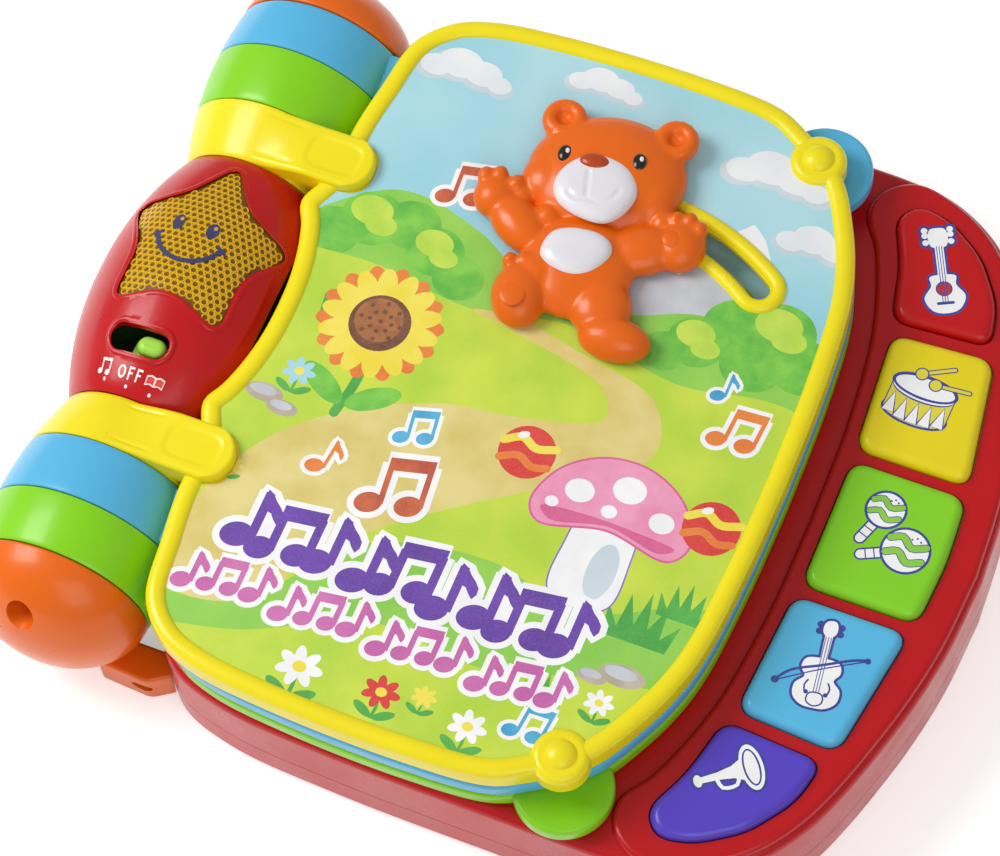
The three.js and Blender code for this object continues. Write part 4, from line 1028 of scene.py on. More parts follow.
def build_keys(sizes):
    """The five keys, each a rounded cap with a flange under the panel and a plunger."""
    top = PANEL_Z + sizes.key_rise / MM
    for outline, (name, finish, slot) in zip(key_outlines(), KEYS):
        xs, ys = [p.x for p in outline], [p.y for p in outline]
        centre = ((min(xs) + max(xs)) / 2, (min(ys) + max(ys)) / 2)
        cap = slab(outline, KEY_UNDER - 1.6, top, 2.8, 0, 10)
        lip_ring = slab(offset(outline, -1.6), KEY_UNDER - 1.59, KEY_UNDER)
        plunger = slab(disc(*centre, 6), KEY_UNDER - 4.6, top - 1.5)
        cap = combine(cap, [lip_ring])
        cap = combine(cap, [slab(offset(outline, 2.4), 0, top - 2.4)], "DIFFERENCE")
        piece(f"key_{name}_cap", combine(cap, [plunger]), finish, f"button_{name}", [f"key_{name}"])


# Bear

# Lumps under the bear's skin: x, y, three half widths and a turn in degrees
BEAR_LOBES = [
    (105.2, 74.2, 24.4, 20.2, 9.0, 14), (90.4, 67.4, 9.4, 9.4, 6.6, 0), (119.6, 72.4, 9.6, 10.4, 6.8, 0),
    (86.8, 86.8, 5.4, 5.4, 3.0, 0), (121.0, 91.4, 5.4, 5.4, 3.0, 0),
    (108.6, 42.6, 17.2, 17.4, 7.4, 0), (86.4, 50.2, 12.2, 7.2, 5.8, 148), (76.6, 56.2, 6.8, 7.0, 6.0, 0),
    (124.2, 54.2, 12, 8.2, 5.8, 28), (134.6, 59.4, 7.8, 8.4, 6.2, 0), (98.4, 35.4, 7.4, 8, 6.6, 20),
    (96.0, 27.8, 8.6, 10.6, 7.4, 14), (119.8, 32.4, 9.6, 10.4, 6.6, 30), (127.8, 23.6, 11.2, 6.8, 7.0, 6),
    (84.6, 58.6, 3.4, 3.4, 4.4, 0), (94.2, 54.4, 4.8, 4.8, 5, 0), (127.2, 64.6, 4.4, 4.4, 4.6, 0),
]
EARS = [(86.8, 86.8), (121.0, 91.4)]
# Its fingers and toes: x, y and a radius
BEAR_TIPS = [(71.8, 60.6, 2.5), (75.8, 62.2, 2.6), (81.6, 61, 2.7), (130.8, 66.2, 2.4), (134.8, 67, 2.5),
             (138.8, 65.2, 2.4), (89.6, 36.2, 2.3), (93.6, 37.6, 2.4), (97.6, 37, 2.3)]
MUZZLE_EDGE = [(93.4, 61.4), (92.8, 65.7), (94.4, 70.7), (97.9, 75.1), (102.4, 77.3), (107.6, 77.4), (112.8, 75.4),
               (116.6, 71.2), (117.8, 67.4), (117.3, 63.4), (115.6, 59.2), (112.6, 56), (109.2, 55), (104, 55.2),
               (99.6, 56.2), (96, 58)]
BELLY_EDGE = [(97.6, 40.4), (97.2, 44.6), (98.6, 48.6), (102.6, 51.2), (107.6, 52.4), (112.8, 52.4), (116.4, 50.6),
              (117.8, 47.4), (117.2, 43.6), (115, 39.4), (111.4, 36.6), (107.6, 35.8), (103, 36.6), (99.6, 38.2)]


def soft_union(bm, voxel=0.6, rounds=6):
    """Melts overlapping lumps into one skin."""
    obj = scratch_object(bm)
    step = obj.modifiers.new("melt", "REMESH")
    step.mode, step.voxel_size = "VOXEL", voxel
    skin = evaluated(obj)
    for _ in range(rounds):
        bmesh.ops.smooth_vert(skin, verts=skin.verts, factor=0.5, use_axis_x=True, use_axis_y=True, use_axis_z=True)
    return skin


def cut_flat(bm, z):
    """Takes away what lies below a height and closes the cut."""
    bmesh.ops.bisect_plane(bm, geom=bm.verts[:] + bm.edges[:] + bm.faces[:], plane_co=(0, 0, z),
                           plane_no=(0, 0, 1), clear_inner=True, dist=0.0001)
    bmesh.ops.holes_fill(bm, edges=[e for e in bm.edges if e.is_boundary], sides=0)
    bmesh.ops.recalc_face_normals(bm, faces=bm.faces)
    return bm


def build_bear():
    """The orange bear: one soft skin over its limbs, with a muzzle, nose, eyes and belly set in."""
    base = BEAR_BOTTOM + 1
    lumps = bmesh.new()
    for x, y, rx, ry, rz, turn in BEAR_LOBES:
        ball(lumps, x, y, base, rx, ry, rz, turn, detail=4)
    for x, y, r in BEAR_TIPS:
        ball(lumps, x, y, base + 2.6, r, r * 1.25, 3.2)
    for x, y in EARS:
        for k in range(16):
            a = math.pi * k / 8
            ball(lumps, x + 4.5 * math.cos(a), y + 4.5 * math.sin(a), base + 2.4, 2.6, 2.6, 3.2)
    skin = cut_flat(soft_union(lumps), BEAR_BOTTOM)
    details = bmesh.new()
    for x, y, rx, ry in ((132.4, 58.4, 3.0, 2.7), (95.4, 24.6, 3.9, 4.2)):
        z = lobe_height(x, y, base)
        ball(details, x, y, z - 0.3, rx, ry, 0.8, detail=4)
    stem = slab(arc_band(BEAR_ANGLE - 3.9, BEAR_ANGLE + 3.9, 2.8, False, 8), CHANNEL_TOP - GAP - 2, BEAR_BOTTOM + 2)
    retainer = slab(arc_band(BEAR_ANGLE - 5.6, BEAR_ANGLE + 5.6, 7.6, False, 8), CHANNEL_TOP - GAP - 2.01,
                    CHANNEL_TOP - GAP)
    skin = combine(skin, [combine(stem, [retainer])])
    piece("bear_skin", join(skin, details), "orange_abs", "bear", ["bear_body"],
          flat_faces=False, sharp=60)

    smile = [(98.6, 60.8), (101.2, 59.6), (104.5, 60.4), (108.6, 60.4), (111.6, 62.6), (112.9, 65.8)]
    muzzle = dome(MUZZLE_EDGE, (105.2, 66), base + 6.6, 3.4, 4, [smile, [(102.0, 69), (104.5, 60.6)]])
    piece("muzzle", muzzle, "white_abs", "bear", ["bear_muzzle"], flat_faces=False)
    nose = ball(bmesh.new(), 102.2, 73.0, base + 9.2, 4.5, 2.7, 1.6, 8, detail=4)
    piece("nose", nose, "nose_brown_abs", "bear", ["bear_nose"], flat_faces=False)
    belly = dome(BELLY_EDGE, (107.4, 44.4), base + 5.2, 3.4, 4)
    piece("belly_pad", belly, "white_abs", "bear", ["bear_belly"], flat_faces=False)
    for name, x, y in (("left", 92.4, 73.6), ("right", 114.4, 78.2)):
        z = lobe_height(x, y, base)
        eye = ball(bmesh.new(), x, y, z - 0.5, 2.2, 3.0, 1.3, 10, detail=4)
        piece(f"eye_{name}", eye, "eye_black_abs", "bear", flat_faces=False)
        # A raised white dot on each eye: a painted highlight, the glint of a lamp
        painted_glint = ball(bmesh.new(), x + 0.5, y + 0.7, z + 0.55, 0.7, 1.0, 0.35, 10, detail=3)
        piece(f"eye_shine_{name}", painted_glint, "white_abs", "bear", flat_faces=False)


def lobe_height(x, y, base):
    """The height of the bear's lobes over a place."""
    top = base
    for cx, cy, rx, ry, rz, turn in BEAR_LOBES:
        a = -math.radians(turn)
        u = ((x - cx) * math.cos(a) - (y - cy) * math.sin(a)) / rx
        v = ((x - cx) * math.sin(a) + (y - cy) * math.cos(a)) / ry
        if u * u + v * v < 1:
            top = max(top, base + rz * math.sqrt(1 - u * u - v * v))
    return top


# Picture on the cover

NOTE_HALO = 1.3


def ground(sheet, crest):
    """The part of the sheet below a hill's crest, which runs from left to right past its edges."""
    run = smooth_run(crest, 2)

    def height(x):
        for a, b in zip(run, run[1:]):
            if a.x <= x <= b.x:
                return a.y + (b.y - a.y) * (x - a.x) / (b.x - a.x)
        return run[0].y if x < run[0].x else run[-1].y

    edge = [(p.x, p.y) for p in sheet]
    top = [p for p in run if inside(p.x, p.y, edge)]
    below = [p.y < height(p.x) for p in sheet]
    start = next(i for i in range(len(sheet)) if below[i] and not below[i - 1])
    ring = [sheet[(start + i) % len(sheet)] for i in range(len(sheet)) if below[(start + i) % len(sheet)]]
    return top + ring


def note_shapes(kind):
    """A music note's outlines: one head with a flag, or two heads under a beam."""
    if kind == "single":
        return [disc(-1.2, -4, 2.9, 2.2, 20), plan((1.0, -3.6), (2.1, -3.6), (2.1, 6), (1.0, 6)),
                closed_curve([(1.2, 6.4), (3, 4.6), (5.2, 2.6), (5, 0.6), (3.4, 2.4), (1.6, 3)])]
    return [disc(-4.6, -4.4, 2.8, 2.2, 20), disc(3.2, -3.4, 2.8, 2.2, 20),
            plan((-2.9, -4.2), (-1.7, -4.2), (-1.7, 4.6), (-2.9, 4.6)),
            plan((4.9, -3.2), (6.1, -3.2), (6.1, 5.8), (4.9, 5.8)),
            plan((-2.9, 3.2), (6.1, 4.4), (6.1, 7.2), (-2.9, 6))]


def draw_scene(art, sheet):
    """Clouds, a peak, hedges, meadows and a path, laid over the sky."""
    for x, y, size in ((50, 94, 1.0), (92, 104, 0.8), (152, 92, 1.1), (172, 74, 0.9)):
        art.move(x, y, size)
        for cx, cy, r in ((-10, 0, 5), (-3, 3, 7), (6, 1.4, 6), (13, -0.6, 4)):
            art.add(disc(cx, cy - 0.8, r * 1.1, r * 0.8), "cloud_shade_ink")
        for cx, cy, r in ((-9, 0.6, 4.6), (-2, 3.6, 6.4), (6, 2.2, 5.4), (12, 0, 3.6)):
            art.add(disc(cx, cy, r * 1.1, r * 0.8), "cloud_ink")
    art.move(0, 0)
    peak = [(116, 26), (128, 52), (134, 60), (139, 57), (147, 71), (152, 76), (157, 72), (166, 58), (172, 54),
            (190, 26)]
    art.add(plan(*peak), "rock_ink")
    art.add(plan((142.5, 63), (147, 71), (152, 76), (157, 72), (162, 64.2), (157, 66), (153.6, 61.6), (150, 66),
                 (146, 61.4)), "snow_ink")
    art.add(plan((128, 52), (134, 60), (139, 57), (137, 52), (133, 54.6)), "snow_ink")
    slopes = [(20, 30), (48, 50), (76, 45), (100, 32), (126, 34), (150, 42), (176, 36), (200, 34)]
    art.add(ground(sheet, slopes), "far_meadow_ink")
    hedges = [(34, 30, 9), (44, 38, 10), (56, 40, 9), (66, 34, 9), (76, 28, 8), (150, 33, 9), (160, 41, 11),
              (172, 44, 11), (182, 36, 10), (168, 32, 10), (142, 27, 7)]
    for x, y, r in hedges:
        art.add(disc(x, y, r, r * 0.92), "bush_ink")
    for x, y, r in hedges[1:9:2]:
        art.add(disc(x - 1.2, y + 2.6, r * 0.66, r * 0.5), "bush_light_ink")
        art.add(disc(x + 3.2, y - 1.2, r * 0.5, r * 0.36), "bush_light_ink")
    art.add(ground(sheet, [(20, 22), (50, 24), (84, 20), (112, 25), (150, 18), (176, 22), (200, 20)]), "meadow_ink")
    art.add(closed_curve([(84, 20), (100, 17), (130, 9), (134, 0), (112, -8), (88, -12), (66, -22), (46, -38),
                          (34, -60), (32, -84), (50, -100), (66, -98), (68, -76), (84, -58), (104, -42), (130, -24),
                          (152, -6), (146, 10), (118, 18), (96, 22)], 3), "path_ink")
    art.add(ground(sheet, [(20, -96), (56, -92), (84, -62), (120, -54), (150, -60), (178, -48), (200, -44)]),
            "far_meadow_ink")
    art.add(ground(sheet, [(20, -108), (60, -100), (96, -84), (130, -86), (160, -78), (200, -72)]), "meadow_ink")
    for x, y, rx in ((37, -27, 6), (44, -30, 5), (169, -74, 7), (161, -77, 4.6)):
        art.add(disc(x, y, rx, rx * 0.5), "stone_ink")
        art.add(disc(x - 0.6, y + 0.7, rx * 0.7, rx * 0.28), "rock_ink")
    for x, y, size in ((168, -60, 1.2), (178, -50, 0.9), (150, -88, 0.7), (48, 6, 0.8)):
        art.move(x, y, size)
        tuft = [(-8, -3), (-9, 5), (-5.4, 0), (-4.6, 9), (-1.6, 1.6), (0, 11), (2, 1.6), (5, 8.6), (5.6, 0), (9.4, 5),
                (8, -3)]
        art.add(plan(*tuft), "bush_dark_ink")
    art.move(0, 0)


def draw_flower(art, x, y, ink, size):
    """A small flower with a stalk and two leaves."""
    art.move(x, y, size)
    art.stroke([(0, -2), (0.4, -6), (0, -9)], 1.1, "bush_dark_ink")
    art.add(disc(-3.6, -7.2, 3.8, 1.5, -28), "bush_dark_ink")
    art.add(disc(3.8, -7.4, 3.8, 1.5, 28), "bush_dark_ink")
    for i in range(7):
        a = 2 * math.pi * i / 7
        art.add(disc(3.6 * math.cos(a), 3.0 * math.sin(a), 2.9, 1.5, math.degrees(a)), ink)
    art.add(disc(0, 0, 1.9, 1.6), "yellow_ink")


def draw_motifs(art):
    """A sunflower, a toadstool with two striped balls, flowers and notes."""
    art.move(60, -2)
    art.stroke([(0, 0), (1, -12), (-1, -24)], 3, "bush_dark_ink")
    for side in (-1, 1):
        art.add(disc(side * 8, -16, 8.6, 3.6, side * 32), "bush_ink")
    for reach, ink in ((13.4, "orange_ink"), (12.4, "yellow_ink")):
        for i in range(14):
            a = 2 * math.pi * (i + (0.5 if ink == "orange_ink" else 0)) / 14
            art.add(disc(reach * math.cos(a), 8 + reach * math.sin(a), 6, 3.1, math.degrees(a)), ink)
    art.add(disc(0, 8, 9.4), "nut_ink")
    art.add(disc(-0.6, 8.8, 7.4), "seed_ink")
    art.spots([(3.4 * math.cos(a) * r, 8.6 + 3.4 * math.sin(a) * r, 0.7) for r in (0.0, 1.0, 1.8)
               for a in (math.pi * k / 4 for k in range(8 if r else 1))], "nut_ink")

    art.move(148, -34)
    stem = closed_curve([(-9, -22), (-10, -8), (-7.4, 4), (7.4, 4), (10, -8), (9, -22), (0, -25)])
    cap = closed_curve([(-24, 2), (-20, 14), (-9, 22), (5, 23), (18, 16), (24, 4), (20, -2), (0, 1), (-20, -3)])
    art.edged([stem], "white_ink", "violet_ink", 0.5)
    art.add(disc(3.4, -12, 4.4, 9.2), "cloud_shade_ink")
    art.edged([cap], "pink_ink", "rose_ink", 0.7)
    art.add(closed_curve([(-21, 1.6), (-8, 3.4), (8, 3.2), (20.6, 1.8), (17, -0.8), (0, 2), (-17, -1.6)]), "rose_ink")
    for x, y, r in ((-12, 10, 4.4), (1.6, 15, 5), (14, 8.4, 3.8), (-1.6, 6.6, 2.4), (-18.4, 4, 2)):
        art.add(disc(x, y, r, r * 0.86), "white_ink")
    for x, y in ((117, -18), (176, -22)):
        art.move(x, y)
        art.add(disc(0, 0, 8.6), "red_ink")
        art.stroke([(-7.8, 1.6), (-3, 4.2), (2, 2), (7.8, 3.6)], 2.6, "yellow_ink")
        art.stroke([(-7.2, -4), (-2, -1.8), (3, -4), (7.4, -3)], 2.4, "orange_ink")
        art.add(disc(-3, 5, 1.8, 1.1, 30), "white_ink")
    for x, y, ink, size in ((82, -104, "white_ink", 1.1), (107, -103, "red_ink", 0.9), (119, -100, "yellow_ink", 0.6),
                            (134, -104, "white_ink", 0.9), (44, -17, "sky_ink", 0.8), (166, -84, "white_ink", 0.7),
                            (38, -52, "yellow_ink", 0.5)):
        draw_flower(art, x, y, ink, size)
    notes = [("double", 86, -42, "brick_ink", 1.5, 6), ("double", 84, -22, "water_ink", 0.9, 8),
             ("single", 62, -40, "orange_ink", 1.0, -6), ("double", 66, 58, "brick_ink", 1.1, 4),
             ("double", 172, 10, "orange_ink", 1.1, -4), ("single", 163, 22, "water_ink", 0.8, 0),
             ("double", 150, -97, "water_ink", 0.9, -6)]
    for kind, x, y, ink, size, turn in notes:
        art.move(x, y, size, turn)
        art.edged(note_shapes(kind), ink, "white_ink", NOTE_HALO)


def draw_note_rows(art):
    """Two rows of plain music notes."""
    first = [(50 + i * 12.4, -66 - (i % 2) * 1.6) for i in range(9)]
    second = [(40 + i * 10.2, -86 + (i % 3 - 1) * 1.2) for i in range(12)]
    for row, size, ink, halo in ((first, 1.55, "plum_ink", 1.7), (second, 0.98, "orchid_ink", 2.0)):
        for edge in (True, False):
            for i, (x, y) in enumerate(row):
                kind = "double" if i % 3 == 1 else "single"
                art.move(x, y, size * (0.92 if kind == "double" else 1), 0)
                for shape in note_shapes(kind):
                    art.add(offset(shape, -halo) if edge else offset(shape, -0.35), "white_ink" if edge else ink)


def build_picture():
    """The cover's printed sheet: a landscape with flowers and notes, cut out round the slot, straps and knobs."""
    sheet = offset(leaf_outline(COVER_BOTTOM), RIM_WIDTH - 1.2)
    art = Print(bounded=True)
    art.add(sheet, "sky_ink")
    draw_scene(art, sheet)
    draw_motifs(art)
    draw_note_rows(art)
    art.move(0, 0)
    art.add(arc_band(SLOT_START, SLOT_END, SLOT_RIM_HALF - 0.9), None)
    for side in (-1, 1):
        y0, y1 = side * (HOUSING_HALF - 0.1), side * (YELLOW_END + 0.1)
        art.add(rounded([(0, y0), (STRAP_END_X + 0.2, y0), (STRAP_END_X + 0.2, y1), (0, y1)], 8.7), None)
        art.add(disc(KNOB[0], side * KNOB[1], 8.4), None)
    art.done("cover_picture", "cover", on_height(SHEET_TOP), 0.45, ["cover_print_sheet"])


def build_page_picture():
    """The print of the blue page, seen through the slot and when the cover is open."""
    sheet = offset(leaf_outline(BLUE_BOTTOM), RIM_WIDTH + 3.2)
    art = Print(bounded=True)
    art.add(sheet, "sky_ink")
    for x, y, r in ((60, 84, 10), (72, 88, 12), (86, 84, 9), (140, 92, 8), (150, 94, 9)):
        art.add(disc(x, y, r, r * 0.7), "cloud_ink")
    art.add(ground(sheet, [(20, 40), (60, 62), (110, 50), (150, 58), (200, 46)]), "far_meadow_ink")
    for x, y, r in ((44, 36, 13), (60, 42, 12), (150, 48, 13), (166, 44, 12)):
        art.add(disc(x, y, r), "bush_ink")
    art.add(ground(sheet, [(20, 16), (80, 34), (140, 18), (200, 30)]), "meadow_ink")
    art.stroke([(96, 26), (84, 0), (110, -30), (92, -70), (104, -116)], 22, "path_ink")
    art.add(ground(sheet, [(20, -84), (70, -74), (120, -92), (200, -70)]), "far_meadow_ink")
    for x, y, ink, size in ((52, -20, "red_ink", 1.8), (66, -52, "white_ink", 1.5), (146, -18, "yellow_ink", 1.8),
                            (160, -54, "pink_ink", 1.6), (132, -44, "white_ink", 1.2)):
        draw_flower(art, x, y, ink, size)
    art.done("page_picture", "base", on_height(BLUE_BOTTOM + PAGE_THICK / 2 + 0.86), 0.05)


# Pictograms on the keys

def draw_guitar(art):
    """A guitar with its pegs, strings and bridge."""
    body = closed_curve([(0, -1.2), (3.6, -1.8), (3.4, -4.4), (5.6, -8.2), (3.6, -12.2), (0, -13.2), (-3.6, -12.2),
                         (-5.6, -8.2), (-3.4, -4.4), (-3.6, -1.8)], 0.6)
    neck = plan((-1.2, -2), (1.2, -2), (1.2, 8.4), (-1.2, 8.4))
    head = closed_curve([(-2, 7.6), (-2.8, 10.4), (-2, 13), (0, 13.4), (2, 13), (2.8, 10.4), (2, 7.6), (0, 7.2)], 0.6)
    pegs = [disc(side * 3.5, y, 0.9) for side in (-1, 1) for y in (9, 11.2, 12.8)]
    art.edged(pegs + [body, neck, head], "white_ink", "icon_ink", 0.75)
    art.add(disc(0, -5.6, 2.3), "icon_ink")
    art.add(disc(0, -5.6, 1.9), "key_red_ink")
    for x in (-0.7, 0, 0.7):
        art.stroke([(x, -9.6), (x, 7.6)], 0.24, "icon_ink", False)
    art.stroke([(-2, -10), (2, -10)], 0.9, "icon_ink", False)


def draw_drum(art):
    """A laced drum with two sticks."""
    top, bottom = disc(0, 2.6, 9.4, 3.4), disc(0, -6.4, 9.4, 3.4)
    wall = plan((-9.4, 2.6), (9.4, 2.6), (9.4, -6.4), (-9.4, -6.4))
    art.edged([bottom, wall, top], "white_ink", "icon_ink", 0.75)
    art.add(wall, "key_yellow_ink")
    art.add(bottom, "key_yellow_ink")
    for i in range(5):
        x = -7.6 + i * 3.8
        dip = 3.2 * math.sqrt(max(0, 1 - (x / 9.5) ** 2))
        art.edged([[Vector((x - 1.7, -6.2 - dip)), Vector((x + 1.7, -6.2 - dip)), Vector((x, 0.4 - dip))]],
                  "white_ink", "icon_ink", 0.45)
    art.add(disc(0, 1.2, 9.4, 3.6), "icon_ink")
    art.add(disc(0, 1.6, 9.4, 3.5), "white_ink")
    art.add(disc(0, 2.6, 9.9, 3.9), "icon_ink")
    art.add(disc(0, 2.6, 9.1, 3.1), "white_ink")
    for x, y, far_x, far_y in ((-2.6, 6.6, 5.8, 11.4), (2.4, 4.6, 12.4, 5.8)):
        art.edged([band([(x, y), (far_x, far_y)], 1.0, False)], "key_yellow_ink", "icon_ink", 0.35)
        art.edged([disc(x, y, 1.7)], "key_yellow_ink", "icon_ink", 0.4)


def draw_maracas(art):
    """Two maracas with waves on their heads."""
    for x, y, r, heading in ((-4.4, 6.2, 5.2, 250), (4.8, -3.6, 6.4, 205)):
        dx, dy = math.cos(math.radians(heading)), math.sin(math.radians(heading))
        grip = band([(x + dx * r, y + dy * r), (x + dx * (r + 6), y + dy * (r + 6))], 2.6, False)
        art.edged([grip], "white_ink", "icon_ink", 0.5)
        for k in (2.2, 4.6):
            cx, cy = x + dx * (r + k), y + dy * (r + k)
            art.stroke([(cx - dy * 1.2, cy + dx * 1.2), (cx + dy * 1.2, cy - dx * 1.2)], 0.35, "icon_ink", False)
        art.edged([disc(x, y, r)], "white_ink", "icon_ink", 0.75)
        for k in (-0.42, 0.3):
            wave = [(x - r * 0.8, y + r * (k + 0.1)), (x - r * 0.3, y + r * (k + 0.3)),
                    (x + r * 0.2, y + r * (k - 0.1)), (x + r * 0.8, y + r * (k + 0.12))]
            art.stroke(wave, r * 0.3 + 0.5, "icon_ink")
            art.stroke(wave, r * 0.3, "key_green_ink")
        art.spots([(x + r * 0.3, y + r * 0.72, 0.3), (x + r * 0.5, y + r * 0.6, 0.3),
                   (x + r * 0.1, y + r * 0.6, 0.3)], "icon_ink")


def draw_violin(art):
    """A violin with its bow across it."""
    body = closed_curve([(0, 1.6), (4.6, 0.8), (5.4, -2.0), (4.0, -4.4), (6.2, -7), (6.0, -10.6), (3.4, -12.8),
                         (0, -13.2), (-3.4, -12.8), (-6.0, -10.6), (-6.2, -7), (-4.0, -4.4), (-5.4, -2.0),
                         (-4.6, 0.8)], 0.6)
    neck = plan((-0.9, 0), (0.9, 0), (1.1, 9), (-1.1, 9))
    scroll = closed_curve([(-1.4, 8.6), (-2, 10.8), (-1.2, 12.6), (1.2, 12.8), (2, 10.8), (1.4, 8.6)], 0.6)
    art.edged([disc(side * 2.9, y, 0.7) for side in (-1, 1) for y in (9.4, 11.4)], "icon_ink", "icon_ink", 0.3)
    art.edged([body, neck, scroll], "white_ink", "icon_ink", 0.75)
    for side in (-1, 1):
        art.stroke([(side * 2.8, -5.4), (side * 3.5, -7), (side * 3.1, -8.8)], 0.5, "icon_ink")
        art.spots([(side * 2.7, -8.9, 0.65)], "icon_ink")
    for x in (-0.75, 0, 0.75):
        art.stroke([(x, -9), (x, 8)], 0.24, "icon_ink", False)
    art.edged([closed_curve([(-1.6, -9.2), (1.6, -9.2), (1.9, -11.4), (0, -12.4), (-1.9, -11.4)], 0.6)], "white_ink",
              "icon_ink", 0.45)
    art.stroke([(-11.6, -7), (-8, -3.6), (0, -0.4), (8, 2.8), (11.6, 3.6)], 0.8, "icon_ink")
    art.stroke([(-11.2, -7.2), (0, -1.6), (11.4, 3.2)], 0.4, "icon_ink")
    art.spots([(-11.6, -7.2, 1.1), (11.8, 3.4, 0.9)], "icon_ink")


def draw_trumpet(art):
    """A trumpet, its bell to the upper right."""
    along, across = Vector((0.8, 0.6)), Vector((-0.6, 0.8))
    widths = [(-9, 0.8), (-4, 1.0), (0, 1.7), (3, 3.2), (5, 5.6)]
    horn = [along * s - across * w for s, w in widths] + [along * s + across * w for s, w in reversed(widths)]
    loop = band([along * -4.4 - across * 0.8, along * -3.6 - across * 3.4, along * 0.2 - across * 3.6,
                 along * 1.2 - across * 1.6], 1.0)
    mouth, bell = along * -9.2, along * 5
    art.edged([loop, disc(mouth.x, mouth.y, 1.1, 1.7, 37), horn, disc(bell.x, bell.y, 3.0, 6.4, 37)], "white_ink",
              "icon_ink", 0.7)
    art.add(disc(bell.x, bell.y, 2.2, 5.2, 37), "icon_ink")
    art.add(disc(bell.x, bell.y, 1.7, 4.7, 37), "white_ink")


# Each key's picture: its x, y, size and turn in degrees
PICTOGRAMS = [(draw_guitar, 206.6, 89.2, 1.1, 26), (draw_drum, 215.4, 47.6, 1.02, -2),
              (draw_maracas, 223, 2.2, 1.06, 0), (draw_violin, 218.2, -43.6, 1.06, 8),
              (draw_trumpet, 206.2, -84, 1.12, 0)]


def build_pictograms(sizes):
    """The printed instruments on the keys."""
    top = PANEL_Z + sizes.key_rise / MM
    for (draw, x, y, size, turn), (name, _, slot) in zip(PICTOGRAMS, KEYS):
        art = Print()
        art.move(x, y, size, turn)
        draw(art)
        art.done(f"pictogram_{name}", f"button_{name}", on_height(top + 0.02), 0.05)


# Carried solids

# The solids that show or hide as they are, under the finish that each gets
CARRIED = {
    "zinc_plated_steel": ["cap_screw_upper", "cap_screw_lower", "battery_door_screw", "base_screw_1",
                          "base_screw_2", "base_screw_3", "base_screw_4"],
    "board_laminate": ["light_board", "circuit_board", "key_board"],
    "black_abs": ["mode_switch_body", "speaker", "battery_1", "battery_2", "battery_3"],
    "red_abs": ["spine_journal_upper", "spine_journal_lower", "battery_door"],
    "lamp_lens": ["star_led"],
    "grey_rubber": ["key_contact_mat"],
    "board_ink": ["blue_page_board", "green_page_board"],
    "bed_ink": ["bed_print_sheet"],
    "back_ink": ["cover_back_sheet"],
}


def dress_carried():
    """Gives the solids that stay their finishes."""
    for finish, names in CARRIED.items():
        for name in names:
            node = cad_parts[name]
            for slot in node.material_slots:
                slot.material = bpy.data.materials[finish]


# Stage

def lamp(name, size, power, place, target):
    """A square white lamp that looks at a target."""
    light = bpy.data.lights.new(name, "AREA")
    light.shape, light.size, light.energy = "SQUARE", size, power
    obj = bpy.data.objects.new(name, light)
    obj.location = place
    obj.rotation_euler = (Vector(target) - Vector(place)).to_track_quat("-Z", "Y").to_euler()
    bpy.context.scene.collection.objects.link(obj)


def build_stage():
    """The floor, the room's light, two lamps and the camera."""
    scene = bpy.context.scene
    scene.view_settings.view_transform = "Standard"
    floor = bmesh.new()
    bmesh.ops.create_grid(floor, x_segments=2, y_segments=2, size=3)
    mesh = bpy.data.meshes.new("floor")
    floor.to_mesh(mesh)
    floor.free()
    # Matt pale paper: a near-white floor that takes soft shadows and hardly mirrors the toy
    tree, shader, coords = new_finish("pale_paper")
    grain = add_node(tree, "ShaderNodeTexNoise", {"Vector": coords, "Scale": 1 / (60 * MM), "Detail": 3.0})
    pale = add_node(tree, "ShaderNodeMix", {0: grain.outputs[0], 6: (*linear("#F1F1EF"), 1),
                                            7: (*linear("#F6F6F5"), 1)}, data_type="RGBA")
    tree.links.new(pale.outputs[2], shader.inputs["Base Color"])
    shader.inputs["Roughness"].default_value = 0.8
    ray = add_node(tree, "ShaderNodeLightPath")
    seen = add_node(tree, "ShaderNodeMath", {0: ray.outputs["Is Camera Ray"], 1: ray.outputs["Is Glossy Ray"]},
                    operation="MAXIMUM")
    lift = add_node(tree, "ShaderNodeMath", {0: seen.outputs[0], 1: 0.45}, operation="MULTIPLY")
    shader.inputs["Emission Color"].default_value = (1, 1, 1, 1)
    tree.links.new(lift.outputs[0], shader.inputs["Emission Strength"])
    mesh.materials.append(bpy.data.materials["pale_paper"])
    plane = bpy.data.objects.new("floor", mesh)
    scene.collection.objects.link(plane)

    world = bpy.data.worlds.new("soft_room")
    world.use_nodes = True
    world.node_tree.nodes["Background"].inputs["Color"].default_value = (1, 1, 1, 1)
    world.node_tree.nodes["Background"].inputs["Strength"].default_value = 0.4
    scene.world = world
    lamp("window", 0.6, 9.8, (-0.85, -0.1, 0.95), (0, 0, 0.03))
    lamp("fill", 0.9, 4.4, (0.6, -0.9, 0.9), (0, 0, 0.03))

    azimuth, elevation, roll = (math.radians(v) for v in (CAMERA_AZIMUTH, CAMERA_ELEVATION, CAMERA_ROLL))
    back = Vector((math.sin(azimuth) * math.cos(elevation), -math.cos(azimuth) * math.cos(elevation),
                   math.sin(elevation)))
    right = Vector((math.cos(azimuth), math.sin(azimuth), 0))
    up = back.cross(right)
    x_axis = right * math.cos(roll) + up * math.sin(roll)
    y_axis = up * math.cos(roll) - right * math.sin(roll)
    data = bpy.data.cameras.new("camera")
    data.sensor_width, data.lens = 36, CAMERA_LENS
    camera = bpy.data.objects.new("camera", data)
    camera.matrix_world = Matrix((x_axis, y_axis, back)).transposed().to_4x4()
    camera.location = Vector(CAMERA_TARGET) * MM + back * CAMERA_DISTANCE
    scene.collection.objects.link(camera)
    scene.camera = camera


# User sizes and colours, operators and panel

def colour_property(label, code):
    """A colour that the user can pick."""
    return bpy.props.FloatVectorProperty(name=label, description=f"{label} of the plastic", subtype="COLOR",
                                         size=3, min=0, max=1, default=linear(code))


